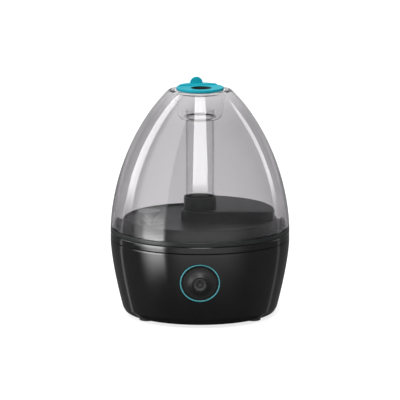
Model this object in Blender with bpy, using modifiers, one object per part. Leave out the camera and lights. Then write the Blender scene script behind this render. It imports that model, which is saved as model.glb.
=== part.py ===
"""Cool mist humidifier: a clear egg-shaped tank on a round black base, with a turning mist nozzle.

Sizes are named in millimetres and MM turns them into Blender's metres. +Z is up, the dial is on
the -Y side, and the origin is on the centre line at the level that the feet stand on.
"""

import math

import bmesh
import bpy
from mathutils import Vector

MM = 0.001
GAP = 0.3  # clearance kept between pieces that touch

# Driving dimensions.
BODY_RADIUS = 89.6  # widest radius, at the joint between tank and base
SEAM_HEIGHT = 85.0  # the tank stands on the base at this height
TANK_RISE = 162.6  # height over which the egg shape would close to a point
TANK_WALL = 2.6
HOUSING_TOP = 77.7
HOUSING_WALL = 2.4
FOOT_HEIGHT = 3.7  # underside of the base above the table
MOUTH_HEIGHT = 229.8  # rim of the tank's mouth
TUBE_RADIUS = 14.1
TUBE_WALL = 1.5
FLOOR_HEIGHT = 97.0  # low part of the tank's floor
PLATEAU_HEIGHT = 107.0  # raised part of the tank's floor, over the fan tower
DECK_HEIGHT = 82.5
POOL_FLOOR = 58.0
VALVE_X, VALVE_Y = -50.0, -32.0
FLOAT_X, FLOAT_Y = -29.7, -18.9
FAN_X, FAN_Y = 40.75, 18.25
FAN_SIZE = 35.0
DIAL_HEIGHT = 48.0
DIAL_TILT = 10.0  # degrees by which the front wall leans under itself at the dial
NOZZLE_TURN = 12.0  # degrees that the nozzle is turned round at rest
NOZZLE_RADIUS = 23.6
NOZZLE_TOP = 230.3

COARSE, ROUND, SMALL = 32, 20, 12  # sides of large, middling and small turned pieces


# ---------------------------------------------------------------- tools


def clear_scene():
    for obj in list(bpy.data.objects):
        bpy.data.objects.remove(obj, do_unlink=True)


def new_collection(name):
    collection = bpy.data.collections.new(name)
    bpy.context.scene.collection.children.link(collection)
    return collection


clear_scene()
PARTS = new_collection("cool_mist_humidifier")
CUTTERS = new_collection("cutters")
MATERIALS = {}


def material(name, colour=None, roughness=0.5, metallic=0.0, alpha=1.0):
    """The named material, made the first time that its colour is given."""
    if name not in MATERIALS:
        made = bpy.data.materials.new(name)
        made.use_nodes = True
        shader = made.node_tree.nodes["Principled BSDF"]
        shader.inputs["Base Color"].default_value = (*colour, 1.0)
        shader.inputs["Roughness"].default_value = roughness
        shader.inputs["Metallic"].default_value = metallic
        shader.inputs["Alpha"].default_value = alpha
        made.diffuse_color = (*colour, alpha)
        MATERIALS[name] = made
    return MATERIALS[name]


material("black_gloss", (0.022, 0.022, 0.024), 0.18)
material("floor_black", (0.022, 0.026, 0.025), 0.3)
material("black_matte", (0.02, 0.02, 0.02), 0.6)
material("clear_smoke", (0.55, 0.53, 0.56), 0.05, alpha=0.35)
material("turquoise", (0.005, 0.40, 0.49), 0.35)
material("ring_turquoise", (0.045, 0.27, 0.31), 0.3)
material("grey_translucent", (0.35, 0.34, 0.36), 0.3, alpha=0.7)
material("dark_rubber", (0.03, 0.03, 0.03), 0.8)
material("silicone", (0.45, 0.45, 0.45), 0.6)
material("steel", (0.6, 0.6, 0.6), 0.3, 1.0)
material("aluminium", (0.75, 0.76, 0.78), 0.35, 1.0)
material("brass", (0.7, 0.5, 0.2), 0.3, 1.0)
material("board_green", (0.02, 0.16, 0.06), 0.5)
material("component_black", (0.02, 0.02, 0.02), 0.5)
material("copper", (0.72, 0.35, 0.18), 0.35, 1.0)
material("wire_white", (0.7, 0.7, 0.68), 0.5)
material("float_white", (0.8, 0.8, 0.78), 0.5)


def finish(obj, look, at, parent, cutter):
    """Gives an object its place, its material and its collection."""
    obj.location = Vector(at) * MM
    obj.parent = parent
    if cutter:
        CUTTERS.objects.link(obj)
        obj.hide_render = True
        obj.display_type = "WIRE"
    else:
        PARTS.objects.link(obj)
        obj.data.materials.append(material(look))
    return obj


def empty(name, at, turn=(0.0, 0.0, 0.0)):
    """A parent on a joint's axis; turn is in degrees about X, Y and Z."""
    obj = bpy.data.objects.new(name, None)
    obj.location = Vector(at) * MM
    obj.rotation_euler = [math.radians(angle) for angle in turn]
    PARTS.objects.link(obj)
    return obj


def lathe(name, profile, look=None, sides=ROUND, at=(0, 0, 0), parent=None, cutter=False, ring=False):
    """A turned solid. The (radius, height) points run down its outer side. A solid piece starts and
    ends on the axis; a ring's profile closes on itself, up the bore."""
    mesh = bpy.data.meshes.new(name)
    points = [(radius * MM, 0.0, height * MM) for radius, height in profile]
    edges = [(i, i + 1) for i in range(len(points) - 1)]
    if ring:
        edges.append((len(points) - 1, 0))
    mesh.from_pydata(points, edges, [])
    obj = bpy.data.objects.new(name, mesh)
    screw = obj.modifiers.new("turn", "SCREW")
    screw.steps = screw.render_steps = sides
    screw.use_merge_vertices = True
    screw.merge_threshold = 0.00001
    return finish(obj, look, at, parent, cutter)


def bmesh_object(name, build, look, at, parent, cutter):
    mesh = bpy.data.meshes.new(name)
    work = bmesh.new()
    build(work)
    work.to_mesh(mesh)
    work.free()
    return finish(bpy.data.objects.new(name, mesh), look, at, parent, cutter)


def rod(name, radius, low, high, look=None, sides=SMALL, at=(0, 0, 0), parent=None, cutter=False):
    """A straight cylinder from height low to height high about its object's Z axis."""

    def build(work):
        bmesh.ops.create_cone(
            work, cap_ends=True, segments=sides, radius1=radius * MM, radius2=radius * MM,
            depth=(high - low) * MM,
        )
        bmesh.ops.translate(work, verts=work.verts, vec=(0, 0, (high + low) / 2 * MM))

    return bmesh_object(name, build, look, at, parent, cutter)


def block(name, low, high, look=None, at=(0, 0, 0), parent=None, cutter=False, corner=0.0):
    """A box between two corners, with its upright edges rounded to the radius corner."""
    low, high = Vector(low), Vector(high)

    def build(work):
        bmesh.ops.create_cube(work, size=1.0)
        bmesh.ops.scale(work, verts=work.verts, vec=(high - low) * MM)
        bmesh.ops.translate(work, verts=work.verts, vec=(low + high) / 2 * MM)
        if corner:
            upright = [e for e in work.edges if abs(e.verts[0].co.z - e.verts[1].co.z) > 1e-6]
            bmesh.ops.bevel(
                work, geom=upright, offset=corner * MM, segments=3, profile=0.5, affect="EDGES"
            )

    return bmesh_object(name, build, look, at, parent, cutter)


def as_mesh(curve_object, name, look, at, parent, cutter, turn=(0, 0, 0)):
    """A curve's evaluated shape as a closed mesh; the curve is removed."""
    bpy.context.scene.collection.objects.link(curve_object)
    graph = bpy.context.evaluated_depsgraph_get()
    mesh = bpy.data.meshes.new_from_object(curve_object.evaluated_get(graph))
    work = bmesh.new()
    work.from_mesh(mesh)
    bmesh.ops.remove_doubles(work, verts=work.verts, dist=0.000001)
    bmesh.ops.recalc_face_normals(work, faces=work.faces)
    work.to_mesh(mesh)
    work.free()
    bpy.data.objects.remove(curve_object, do_unlink=True)
    obj = bpy.data.objects.new(name, mesh)
    obj.rotation_euler = [math.radians(angle) for angle in turn]
    mesh.materials.clear()
    return finish(obj, look, at, parent, cutter)


def plate(name, outline, low, high, look=None, at=(0, 0, 0), parent=None, cutter=False, turn=(0, 0, 0)):
    """A flat outline of (x, y) points, filled and thickened from height low to height high."""
    curve = bpy.data.curves.new(name, "CURVE")
    curve.dimensions = "2D"
    curve.fill_mode = "BOTH"
    curve.extrude = (high - low) / 2 * MM
    spline = curve.splines.new("POLY")
    spline.points.add(len(outline) - 1)
    for point, (x, y) in zip(spline.points, outline):
        point.co = (x * MM, y * MM, 0.0, 1.0)
    spline.use_cyclic_u = True
    shape = as_mesh(bpy.data.objects.new(name, curve), name, look, at, parent, cutter, turn)
    for vertex in shape.data.vertices:
        vertex.co.z += (low + high) / 2 * MM
    return shape


def wire(name, points, radius, look, parent=None):
    """A round wire through the points, as a smooth curve read off at short steps."""
    steps = 3
    ends = [points[0]] + list(points) + [points[-1]]
    smooth = []
    for before, start, end, after in zip(ends, ends[1:], ends[2:], ends[3:]):
        before, start, end, after = map(Vector, (before, start, end, after))
        for step in range(steps):
            t = step / steps
            smooth.append(
                0.5 * (2 * start + (end - before) * t + (2 * before - 5 * start + 4 * end - after) * t ** 2
                       + (3 * start - before - 3 * end + after) * t ** 3)
            )
    smooth.append(Vector(points[-1]))
    curve = bpy.data.curves.new(name, "CURVE")
    curve.dimensions = "3D"
    curve.bevel_depth = radius * MM
    curve.bevel_resolution = 1
    curve.use_fill_caps = True
    spline = curve.splines.new("POLY")
    spline.points.add(len(smooth) - 1)
    for point, place in zip(spline.points, smooth):
        point.co = (*(place * MM), 1.0)
    obj = bpy.data.objects.new(name, curve)
    return finish(obj, look, (0, 0, 0), parent, False)


def boolean(target, other, operation):
    change = target.modifiers.new(other.name, "BOOLEAN")
    change.operation = operation
    change.object = other
    change.solver = "EXACT"


def cut(target, *cutters):
    for cutter in cutters:
        boolean(target, cutter, "DIFFERENCE")


def join(target, *others):
    for other in others:
        boolean(target, other, "UNION")


def on_circle(radius, angle):
    """The point (x, y) at an angle in degrees, counted from +X towards +Y."""
    return radius * math.cos(math.radians(angle)), radius * math.sin(math.radians(angle))


def arc(centre, radius, start, end, steps):
    """Points along an arc, both ends included, with angles in degrees."""
    angles = [start + (end - start) * step / steps for step in range(steps + 1)]
    return [(centre[0] + on_circle(radius, a)[0], centre[1] + on_circle(radius, a)[1]) for a in angles]


# ---------------------------------------------------------------- outer shapes


def tank_radius(height):
    """The egg: a power curve that is upright at the seam and closes towards the top."""
    share = (height - (SEAM_HEIGHT - 1.0)) / TANK_RISE
    return BODY_RADIUS * (1.0 - share ** 1.85) ** 0.67


def tank_slope(height):
    """Angle in radians by which the wall's outward normal leans up."""
    return math.atan((tank_radius(height - 0.5) - tank_radius(height + 0.5)))


def housing_radius(height):
    """The base's side: widest at the top, drawing in towards the bottom on a power curve."""
    return BODY_RADIUS - 10.6 * ((HOUSING_TOP - height) / 62.7) ** 1.5


def spaced(start, end, steps):
    return [start + (end - start) * step / steps for step in range(steps + 1)]


# ---------------------------------------------------------------- tank


def tank_shell():
    """Clear egg with its mouth rolled in to a well that holds the nozzle."""
    low, high = SEAM_HEIGHT + 4.8, MOUTH_HEIGHT - 2.2
    heights = [high - (high - low) * share ** 1.25 for share in spaced(0.0, 1.0, 7)]
    outer = [(tank_radius(z), z) for z in heights]
    inner = [
        (tank_radius(z) - TANK_WALL * math.cos(tank_slope(z)), z - TANK_WALL * math.sin(tank_slope(z)))
        for z in reversed(heights[1:-1])
    ]
    well_bend = 6.4  # radius of the well's lower corner, outside
    well_under = 196.6
    corner = (16.2, well_under + well_bend)
    well_outer = [(26.0, 221.0), (22.6, corner[1])]
    well_outer += arc(corner, well_bend, -30.0, -90.0, 2)
    well_inner = [(15.6, well_under), (15.6, well_under + 2.0), (17.5, well_under + 2.2)]
    well_inner += [(20.2, corner[1] - 2.0), (20.9, corner[1] + 1.5), (24.1, 226.4)]
    ledge = (26.4, 226.4)
    mouth = [(26.4, MOUTH_HEIGHT), (28.4, MOUTH_HEIGHT - 0.3)]
    profile = mouth + outer + [(tank_radius(low) - TANK_WALL, low)] + inner
    profile += well_outer + well_inner + [ledge]
    lathe("tank_shell", profile, "clear_smoke", COARSE, ring=True)


def plateau_outline(inset):
    """The raised floor: round the collar on the left, straight in front, and the tank's wall behind."""
    collar, wall, left = 19.0 - inset, 74.6 - inset, -12.0 + inset
    front_angle = -math.degrees(math.asin(collar / wall))
    back_angle = 90.0 - math.degrees(math.asin(left / wall))
    collar_angle = math.degrees(math.acos(left / collar))
    outline = arc((0, 0), wall, front_angle, back_angle, 10)
    outline += arc((0, 0), collar, collar_angle, 270.0, 6)
    return outline


def tank_floor():
    """Black floor that closes the tank: flange, low floor, raised plateau, collar and filler neck."""
    profile = [
        (0, FLOOR_HEIGHT), (74.0, FLOOR_HEIGHT), (74.4, 99.0), (75.6, 99.0), (76.6, 98.0),
        (78.4, 89.6), (89.3, 89.5), (89.5, 89.2), (89.5, SEAM_HEIGHT), (80.0, SEAM_HEIGHT),
        (76.0, 87.0), (73.8, FLOOR_HEIGHT - 2.5), (0, FLOOR_HEIGHT - 2.5),
    ]
    floor = lathe("tank_floor", profile, "floor_black", COARSE)
    bore = TUBE_RADIUS + GAP
    join(floor, plate("plateau_block", plateau_outline(0.0), 95.5, PLATEAU_HEIGHT, cutter=True))
    cut(floor, plate("plateau_hollow", plateau_outline(2.5), 90.0, PLATEAU_HEIGHT - 2.5, cutter=True))
    join(
        floor,
        rod("collar_block", bore + 1.8, PLATEAU_HEIGHT - 1.0, 120.0, sides=ROUND, cutter=True),
        rod("spigot_block", bore + 0.2, 91.0, PLATEAU_HEIGHT - 1.2, sides=ROUND, cutter=True),
        rod("neck_block", 11.0, 84.6, 96.0, sides=ROUND, at=(VALVE_X, VALVE_Y, 0), cutter=True),
        rod("neck_boss", 14.6, 95.5, 98.6, sides=ROUND, at=(VALVE_X, VALVE_Y, 0), cutter=True),
    )
    cut(
        floor,
        rod("collar_bore", bore, PLATEAU_HEIGHT - 0.2, 121.0, sides=ROUND, cutter=True),
        rod("spigot_bore", bore - 2.0, 90.0, PLATEAU_HEIGHT + 1.0, sides=ROUND, cutter=True),
        rod("neck_bore", 9.4, 83.0, 100.0, sides=ROUND, at=(VALVE_X, VALVE_Y, 0), cutter=True),
    )
    for side in (-1, 1):
        low, high = sorted((side * 80.2, side * 85.0))
        join(floor, block(f"lug_block_{side}", (low, -9, 88.5), (high, 9, 96.6), cutter=True, corner=1.6))


def mist_tube():
    outer, inner = TUBE_RADIUS, TUBE_RADIUS - TUBE_WALL
    top, bottom = 206.0, PLATEAU_HEIGHT + 1.7
    lathe("mist_tube", [(outer, top), (outer, bottom), (inner, bottom), (inner, top)],
          "clear_smoke", ROUND, ring=True)


def tube_gaskets():
    """A grommet in the well's floor and a flat washer under the tube, which keep the water out of it."""
    bore = TUBE_RADIUS + GAP
    lathe("tube_gasket_upper",
          [(17.2, 200.6), (17.2, 199.2), (15.3, 199.0), (15.3, 195.6), (bore, 195.6), (bore, 200.6)],
          "dark_rubber", ROUND, ring=True)
    low, high = PLATEAU_HEIGHT + 0.1, PLATEAU_HEIGHT + 1.4
    lathe("tube_gasket_lower", [(14.1, high), (14.1, low), (12.7, low), (12.7, high)],
          "dark_rubber", ROUND, ring=True)


# ---------------------------------------------------------------- filler cap and valve


def filler_cap():
    """Cap under the tank that screws over the filler neck, with grip ribs round it."""
    at = (VALVE_X, VALVE_Y, 0)
    profile = [
        (13.0, 93.4), (13.0, 80.2), (12.2, 79.4), (9.0, 79.4), (9.0, 82.0), (4.5, 82.0),
        (4.5, 84.0), (11.4, 84.0), (11.4, 93.4),
    ]
    cap = lathe("filler_cap", profile, "floor_black", ROUND, at=at, ring=True)
    ribs = 8
    for rib in range(ribs):
        x, y = on_circle(12.8, rib * 360.0 / ribs)
        join(cap, rod(f"grip_rib_{rib}", 0.9, 81.0, 92.6, sides=6, at=(VALVE_X + x, VALVE_Y + y, 0),
                      cutter=True))
    lathe("cap_gasket", [(13.0, 94.2), (13.0, 93.7), (11.3, 93.7), (11.3, 94.2)],
          "silicone", ROUND, at=at, ring=True)


def valve():
    """Plunger that the base's post lifts: button below, seal on the cap's seat, flared guard on top."""
    at = (VALVE_X, VALVE_Y, 0)
    profile = [
        (0, 102.4), (2.0, 102.8), (10.6, 111.2), (11.3, 111.0), (2.6, 100.6), (2.2, 98.0),
        (2.2, 91.0), (6.2, 91.0), (6.2, 90.0), (2.2, 90.0), (2.2, 75.2), (6.4, 75.2),
        (6.4, 73.4), (0, 73.4),
    ]
    lathe("valve_plunger", profile, "grey_translucent", SMALL, at=at)
    lathe("valve_seal", [(7.2, 89.7), (7.2, 88.3), (2.5, 88.3), (2.5, 89.7)],
          "silicone", SMALL, at=at, ring=True)
    turns, per_turn, radius, low, high = 3, 8, 5.4, 75.9, 81.1
    coil = []
    for step in range(turns * per_turn + 1):
        x, y = on_circle(radius, step * 360.0 / per_turn)
        coil.append((VALVE_X + x, VALVE_Y + y, low + (high - low) * step / (turns * per_turn)))
    spring = bpy.data.curves.new("valve_spring", "CURVE")
    spring.dimensions = "3D"
    spring.bevel_depth = 0.4 * MM
    spring.bevel_resolution = 1
    spring.use_fill_caps = True
    line = spring.splines.new("POLY")
    line.points.add(len(coil) - 1)
    for point, place in zip(line.points, coil):
        point.co = (*(Vector(place) * MM), 1.0)
    finish(bpy.data.objects.new("valve_spring", spring), "steel", (0, 0, 0), None, False)


# ---------------------------------------------------------------- nozzle


def nozzle():
    """Turquoise disc with an off-centre mist hole, a raised rear step and a tab, over its black backing."""
    turned = empty("nozzle_axis", (0, 0, 0), (0, 0, NOZZLE_TURN))
    hole_at, hole_radius = (0, -5.6, 0), 10.4
    profile = [
        (0, NOZZLE_TOP), (22.9, NOZZLE_TOP), (NOZZLE_RADIUS, NOZZLE_TOP - 0.7),
        (NOZZLE_RADIUS, NOZZLE_TOP - 2.8), (22.9, NOZZLE_TOP - 2.8), (22.9, NOZZLE_TOP - 1.9),
        (0, NOZZLE_TOP - 1.9),
    ]
    disc = lathe("nozzle", profile, "turquoise", ROUND, parent=turned)
    step_front = 10.6
    half = math.degrees(math.acos(step_front / 22.4))
    rear = arc((0, 0), 22.4, 90.0 - half, 90.0 + half, 10)
    join(disc, plate("rear_step", rear, NOZZLE_TOP - 1.0, NOZZLE_TOP + 1.2, cutter=True, parent=turned))
    tab = arc((0, 0), 6.5, 0.0, 180.0, 10) + [(-6.5, -1.5), (6.5, -1.5)]
    join(disc, plate("finger_tab", tab, -1.1, 1.1, cutter=True, parent=turned,
                     at=(0, 17.6, NOZZLE_TOP + 1.0), turn=(90, 0, 0)))
    cut(
        disc,
        rod("mist_hole", hole_radius, 225.0, 235.0, sides=ROUND, at=hole_at, cutter=True, parent=turned),
        rod("mist_hole_recess", 12.9, 225.0, NOZZLE_TOP - 0.7, sides=ROUND, at=hole_at, cutter=True,
            parent=turned),
    )
    backing = rod("nozzle_backing", 22.5, NOZZLE_TOP - 3.6, NOZZLE_TOP - 2.2, "black_matte", ROUND,
                  parent=turned)
    join(backing, rod("backing_boss", 12.6, NOZZLE_TOP - 3.0, NOZZLE_TOP - 1.0, sides=ROUND, at=hole_at,
                      cutter=True, parent=turned))
    cut(backing, rod("backing_hole", hole_radius, 225.0, 235.0, sides=ROUND, at=hole_at, cutter=True,
                     parent=turned))
    lathe("nozzle_seal", [(24.9, 227.2), (24.9, 226.7), (22.9, 226.7), (22.9, 227.2)],
          "silicone", ROUND, ring=True)


# ---------------------------------------------------------------- base


BOSS_ANGLES = (-30.0, 90.0, 210.0)  # the case screws
BOSS_CIRCLE = 47.0
CLAMP_ANGLES = (30.0, 150.0, 270.0)  # the transducer's screws
CLAMP_CIRCLE = 21.5
FEET = [(side * 52.5, end * 31.0) for side in (-1, 1) for end in (-1, 1)]


def housing(dial):
    """Outer shell of the base, open on top, with a ring floor, a spot face for the dial and a jack hole."""
    low = 15.0
    heights = [HOUSING_TOP - (HOUSING_TOP - low) * share for share in spaced(0.0, 1.0, 5)]
    outer = [(housing_radius(z), z) for z in heights]
    edge = housing_radius(low)
    bottom = [(edge - 0.9, 11.2), (edge - 4.0, 6.4), (edge - 10.2, FOOT_HEIGHT)]
    ledge = [(50.4, FOOT_HEIGHT), (50.4, 7.2), (43.0, 7.2), (43.0, 9.4)]
    inner_bottom = [(50.4, 9.4), (52.0, 6.2), (edge - 11.0, 6.2), (edge - 6.2, 8.4)]
    inner = [(radius - HOUSING_WALL, z) for radius, z in reversed(outer[:-1:2])]
    inner = [(edge - HOUSING_WALL - 0.6, low - 1.0)] + inner
    profile = outer + bottom + ledge + inner_bottom + inner
    shell = lathe("housing", profile, "black_gloss", COARSE, ring=True)

    solid = [(0, HOUSING_TOP)] + [(r - 0.05, z) for r, z in outer] + [(0, low)]
    envelope = lathe("housing_envelope", solid, sides=COARSE, cutter=True)
    boss = rod("dial_boss", 22.6, -7.4, -0.9, sides=ROUND, parent=dial, cutter=True)
    boolean(boss, envelope, "INTERSECT")
    join(shell, boss)
    for side in (-1, 1):
        post = rod(f"board_post_{side}", 2.8, -17.6, -7.0, sides=8, at=(side * 15.5, 0, 0),
                   parent=dial, cutter=True)
        join(shell, post)
    cut(
        shell,
        rod("dial_recess", 20.3, -2.6, 12.0, sides=32, parent=dial, cutter=True),
        rod("dial_bore", 9.3, -12.0, 1.0, sides=ROUND, parent=dial, cutter=True),
    )
    for side in (-1, 1):
        cut(
            shell,
            rod(f"board_post_hole_{side}", 1.4, -19.0, -9.0, sides=8, at=(side * 15.5, 0, 0),
                parent=dial, cutter=True),
            rod(f"pipe_hole_{side}", 1.8, -9.0, -1.0, sides=8, at=(0, side * 19.1, 0), parent=dial,
                cutter=True),
        )
    for number, (x, y) in enumerate(FEET, 1):
        cut(shell, rod(f"foot_hole_{number}", 4.2, 2.0, 8.0, at=(x, y, 0), cutter=True))
    for number, angle in enumerate(BOSS_ANGLES, 1):
        x, y = on_circle(BOSS_CIRCLE, angle)
        cut(shell, rod(f"ledge_hole_{number}", 1.8, 6.0, 11.0, sides=8, at=(x, y, 0), cutter=True))
    jack = rod("jack_hole", 5.8, -90.0, -70.0, sides=ROUND, at=(0, 0, JACK_HEIGHT), cutter=True)
    jack.rotation_euler = (math.radians(90.0), 0.0, 0.0)
    cut(shell, jack)


def bottom_plate():
    """Round cover under the base with the air intake slots, the circuit board's posts and screw holes."""
    top = 6.9
    cover = rod("bottom_plate", 50.0, FOOT_HEIGHT, top, "black_matte", COARSE)
    for number, (x, y) in enumerate(BOARD_CORNERS, 1):
        join(cover, rod(f"standoff_{number}", 3.0, top - 1.0, BOARD_HEIGHT - GAP, sides=8,
                        at=(x, y, 0), cutter=True))
    for number, (x, y) in enumerate(BOARD_CORNERS[::3], 1):
        cut(cover, rod(f"standoff_hole_{number}", 1.4, 9.0, 20.0, sides=8, at=(x, y, 0), cutter=True))
    for number, angle in enumerate(BOSS_ANGLES, 1):
        x, y = on_circle(BOSS_CIRCLE, angle)
        cut(
            cover,
            rod(f"case_screw_hole_{number}", 1.8, 2.0, 9.0, sides=8, at=(x, y, 0), cutter=True),
            rod(f"case_screw_sink_{number}", 2.8, 2.0, 5.6, sides=8, at=(x, y, 0), cutter=True),
        )
    slot_pitch, slot_width, reach = 5.5, 2.8, 19.5
    for number in range(-3, 4):
        x = number * slot_pitch
        half = math.sqrt(reach ** 2 - x ** 2)
        cut(cover, block(f"slot_{number}", (x - slot_width / 2, -half, 2.0),
                         (x + slot_width / 2, half, 9.0), cutter=True))


def feet():
    for number, (x, y) in enumerate(FEET, 1):
        lathe(f"foot_{number}",
              [(0, 7.0), (3.6, 7.0), (3.8, 3.4), (7.6, 3.4), (8.0, 3.0), (8.0, 0.5), (7.5, 0), (0, 0)],
              "dark_rubber", SMALL, at=(x, y, 0))


def channel_outline(half_width):
    """Rectangle along the line from the mist chamber to the valve."""
    along = Vector((VALVE_X, VALVE_Y)).normalized()
    across = Vector((-along.y, along.x)) * half_width
    far = Vector((VALVE_X, VALVE_Y))
    return [tuple(p) for p in (across, -across, far - across, far + across)]


def basin():
    """Black top of the base: rim, deck, water pool, mist chamber, fan tower, float post and valve post."""
    profile = [
        (0, DECK_HEIGHT), (80.2, DECK_HEIGHT), (80.6, SEAM_HEIGHT - GAP), (89.2, SEAM_HEIGHT - GAP),
        (89.5, 84.4), (89.5, 78.2), (86.2, 78.1), (86.0, 73.0), (84.2, 73.0), (84.0, 80.2), (0, 80.2),
    ]
    top = lathe("basin", profile, "floor_black", COARSE)
    under = POOL_FLOOR - 2.2
    valve_at, float_at = (VALVE_X, VALVE_Y, 0), (FLOAT_X, FLOAT_Y, 0)
    join(
        top,
        rod("pool_round", 26.2, under, 81.5, sides=ROUND, cutter=True),
        rod("pool_valve_end", 24.2, under, 81.7, sides=ROUND, at=valve_at, cutter=True),
        plate("pool_channel", channel_outline(20.2), under, 81.3, cutter=True),
    )
    for number, angle in enumerate(BOSS_ANGLES, 1):
        x, y = on_circle(BOSS_CIRCLE, angle)
        join(top, rod(f"case_boss_{number}", 4.2, 9.7, 80.9, sides=16, at=(x, y, 0), cutter=True))
    for number, angle in enumerate(CLAMP_ANGLES, 1):
        x, y = on_circle(CLAMP_CIRCLE, angle)
        join(top, rod(f"clamp_boss_{number}", 3.2, 49.8, under + 1.0, sides=8, at=(x, y, 0), cutter=True))
    cut(
        top,
        rod("pool_round_inside", 24.0, POOL_FLOOR, 90.0, sides=ROUND, cutter=True),
        rod("pool_valve_inside", 22.0, POOL_FLOOR, 91.0, sides=ROUND, at=valve_at, cutter=True),
        plate("pool_channel_inside", channel_outline(18.0), POOL_FLOOR, 89.0, cutter=True),
    )
    half = FAN_SIZE / 2 + 3.75
    tower_low, tower_high = (FAN_X - half, FAN_Y - half), (FAN_X + half, FAN_Y + half)
    wall = 2.0
    join(
        top,
        block("tower", (*tower_low, under), (*tower_high, 100.0), cutter=True, corner=8.0),
        rod("mist_chamber", 19.0, POOL_FLOOR - 1.0, 94.0, sides=ROUND, cutter=True),
        block("air_duct", (12.0, -1.6, 84.0), (tower_low[0] + 1.0, 13.0, 93.6), cutter=True),
        rod("valve_post", 2.5, POOL_FLOOR - 1.0, 73.1, sides=8, at=valve_at, cutter=True),
        rod("float_post", 2.6, POOL_FLOOR - 1.0, 74.0, sides=8, at=float_at, cutter=True),
        rod("float_pin", 1.2, 73.0, 76.4, sides=8, at=float_at, cutter=True),
    )
    inside_low = (tower_low[0] + wall, tower_low[1] + wall, 50.0)
    inside_high = (tower_high[0] - wall, tower_high[1] - wall, 98.0)
    cut(
        top,
        block("tower_inside", inside_low, inside_high, cutter=True, corner=6.0),
        rod("mist_chamber_inside", 17.0, POOL_FLOOR + 0.01, 102.0, sides=ROUND, cutter=True),
        block("air_window", (11.0, 0.4, 85.6), (tower_low[0] + 4.0, 11.0, 91.8), cutter=True),
        rod("transducer_hole", 8.5, 50.0, 60.0, sides=ROUND, cutter=True),
    )
    along = Vector((VALVE_X, VALVE_Y)).normalized()
    gate = [
        tuple(along * start + Vector((-along.y, along.x)) * side)
        for start, side in ((14.0, -7.0), (21.5, -7.0), (21.5, 7.0), (14.0, 7.0))
    ]
    cut(top, plate("water_gate", gate, POOL_FLOOR + 0.02, 68.0, cutter=True))
    for number, (side, end) in enumerate(FAN_POSTS, 1):
        at = (FAN_X + side * 14.2, FAN_Y + end * 14.2, 0)
        join(top, rod(f"fan_post_{number}", 2.6, 84.3, 99.0, sides=8, at=at, cutter=True))
        cut(top, rod(f"fan_post_hole_{number}", 1.4, 80.0, 90.0, sides=8, at=at, cutter=True))
    for number, angle in enumerate(BOSS_ANGLES, 1):
        x, y = on_circle(BOSS_CIRCLE, angle)
        cut(top, rod(f"case_boss_hole_{number}", 1.8, 6.0, 24.0, sides=8, at=(x, y, 0), cutter=True))
    for number, angle in enumerate(CLAMP_ANGLES, 1):
        x, y = on_circle(CLAMP_CIRCLE, angle)
        cut(top, rod(f"clamp_boss_hole_{number}", 1.3, 46.0, 55.0, sides=8, at=(x, y, 0), cutter=True))


def screw(name, radius, head_radius, low, shoulder, high, at=(0, 0, 0), parent=None):
    """A pan-head screw that points up: head from low to shoulder, shank from shoulder to high."""
    profile = [
        (0, high), (radius * 0.4, high), (radius, high - radius), (radius, shoulder),
        (head_radius, shoulder), (head_radius, low + 0.5), (head_radius - 0.6, low), (0, low),
    ]
    lathe(name, profile, "steel", 8, at=at, parent=parent)


def case_screws():
    for number, angle in enumerate(BOSS_ANGLES, 1):
        x, y = on_circle(BOSS_CIRCLE, angle)
        screw(f"case_screw_{number}", 1.45, 2.5, FOOT_HEIGHT + 0.1, 5.3, 20.0, at=(x, y, 0))


# ---------------------------------------------------------------- mist maker and float


def transducer():
    """Piezo disc in its silicone ring, held up to the pool's floor by a clamp with three screws."""
    lathe("transducer", [(0, 54.0), (10.0, 54.0), (10.0, 52.8), (0, 52.8)], "brass", ROUND)
    lathe("transducer_seal",
          [(12.4, 55.5), (12.4, 51.4), (8.8, 51.4), (8.8, 52.5), (10.3, 52.5), (10.3, 54.3), (8.8, 54.3),
           (8.8, 55.5)],
          "silicone", ROUND, ring=True)
    clamp = lathe("transducer_clamp",
                  [(15.0, 55.4), (15.0, 49.5), (25.0, 49.5), (25.0, 47.6), (7.0, 47.6), (7.0, 51.1),
                   (12.7, 51.1), (12.7, 55.4)],
                  "aluminium", ROUND, ring=True)
    for number, angle in enumerate(CLAMP_ANGLES, 1):
        x, y = on_circle(CLAMP_CIRCLE, angle)
        cut(clamp, rod(f"clamp_hole_{number}", 1.3, 46.0, 50.5, sides=8, at=(x, y, 0), cutter=True))
        screw(f"transducer_screw_{number}", 1.0, 2.0, 45.8, 47.3, 54.0, at=(x, y, 0))


def float_switch():
    """Ring float with its magnet on the post, its clip, and the reed switch under the pool's floor."""
    at = (FLOAT_X, FLOAT_Y, 0)
    lathe("float_ring",
          [(7.4, 65.5), (8.0, 64.9), (8.0, 58.5), (6.5, 58.5), (6.5, 61.1), (4.1, 61.1), (4.1, 58.5),
           (3.1, 58.5), (3.1, 65.5)],
          "float_white", SMALL, at=at, ring=True)
    lathe("float_magnet", [(6.2, 60.8), (6.2, 58.8), (4.4, 58.8), (4.4, 60.8)], "steel", SMALL, at=at,
          ring=True)
    lathe("float_clip", [(4.6, 75.4), (4.6, 74.3), (1.5, 74.3), (1.5, 75.4)], "silicone", SMALL, at=at,
          ring=True)
    block("level_sensor", (-4, -7, 52.4), (4, 7, 55.4), "component_black", at=at)


# ---------------------------------------------------------------- fan


FAN_LOW, FAN_HIGH = 74.0, 84.0
FAN_POSTS = ((-1, -1), (1, 1))


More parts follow.
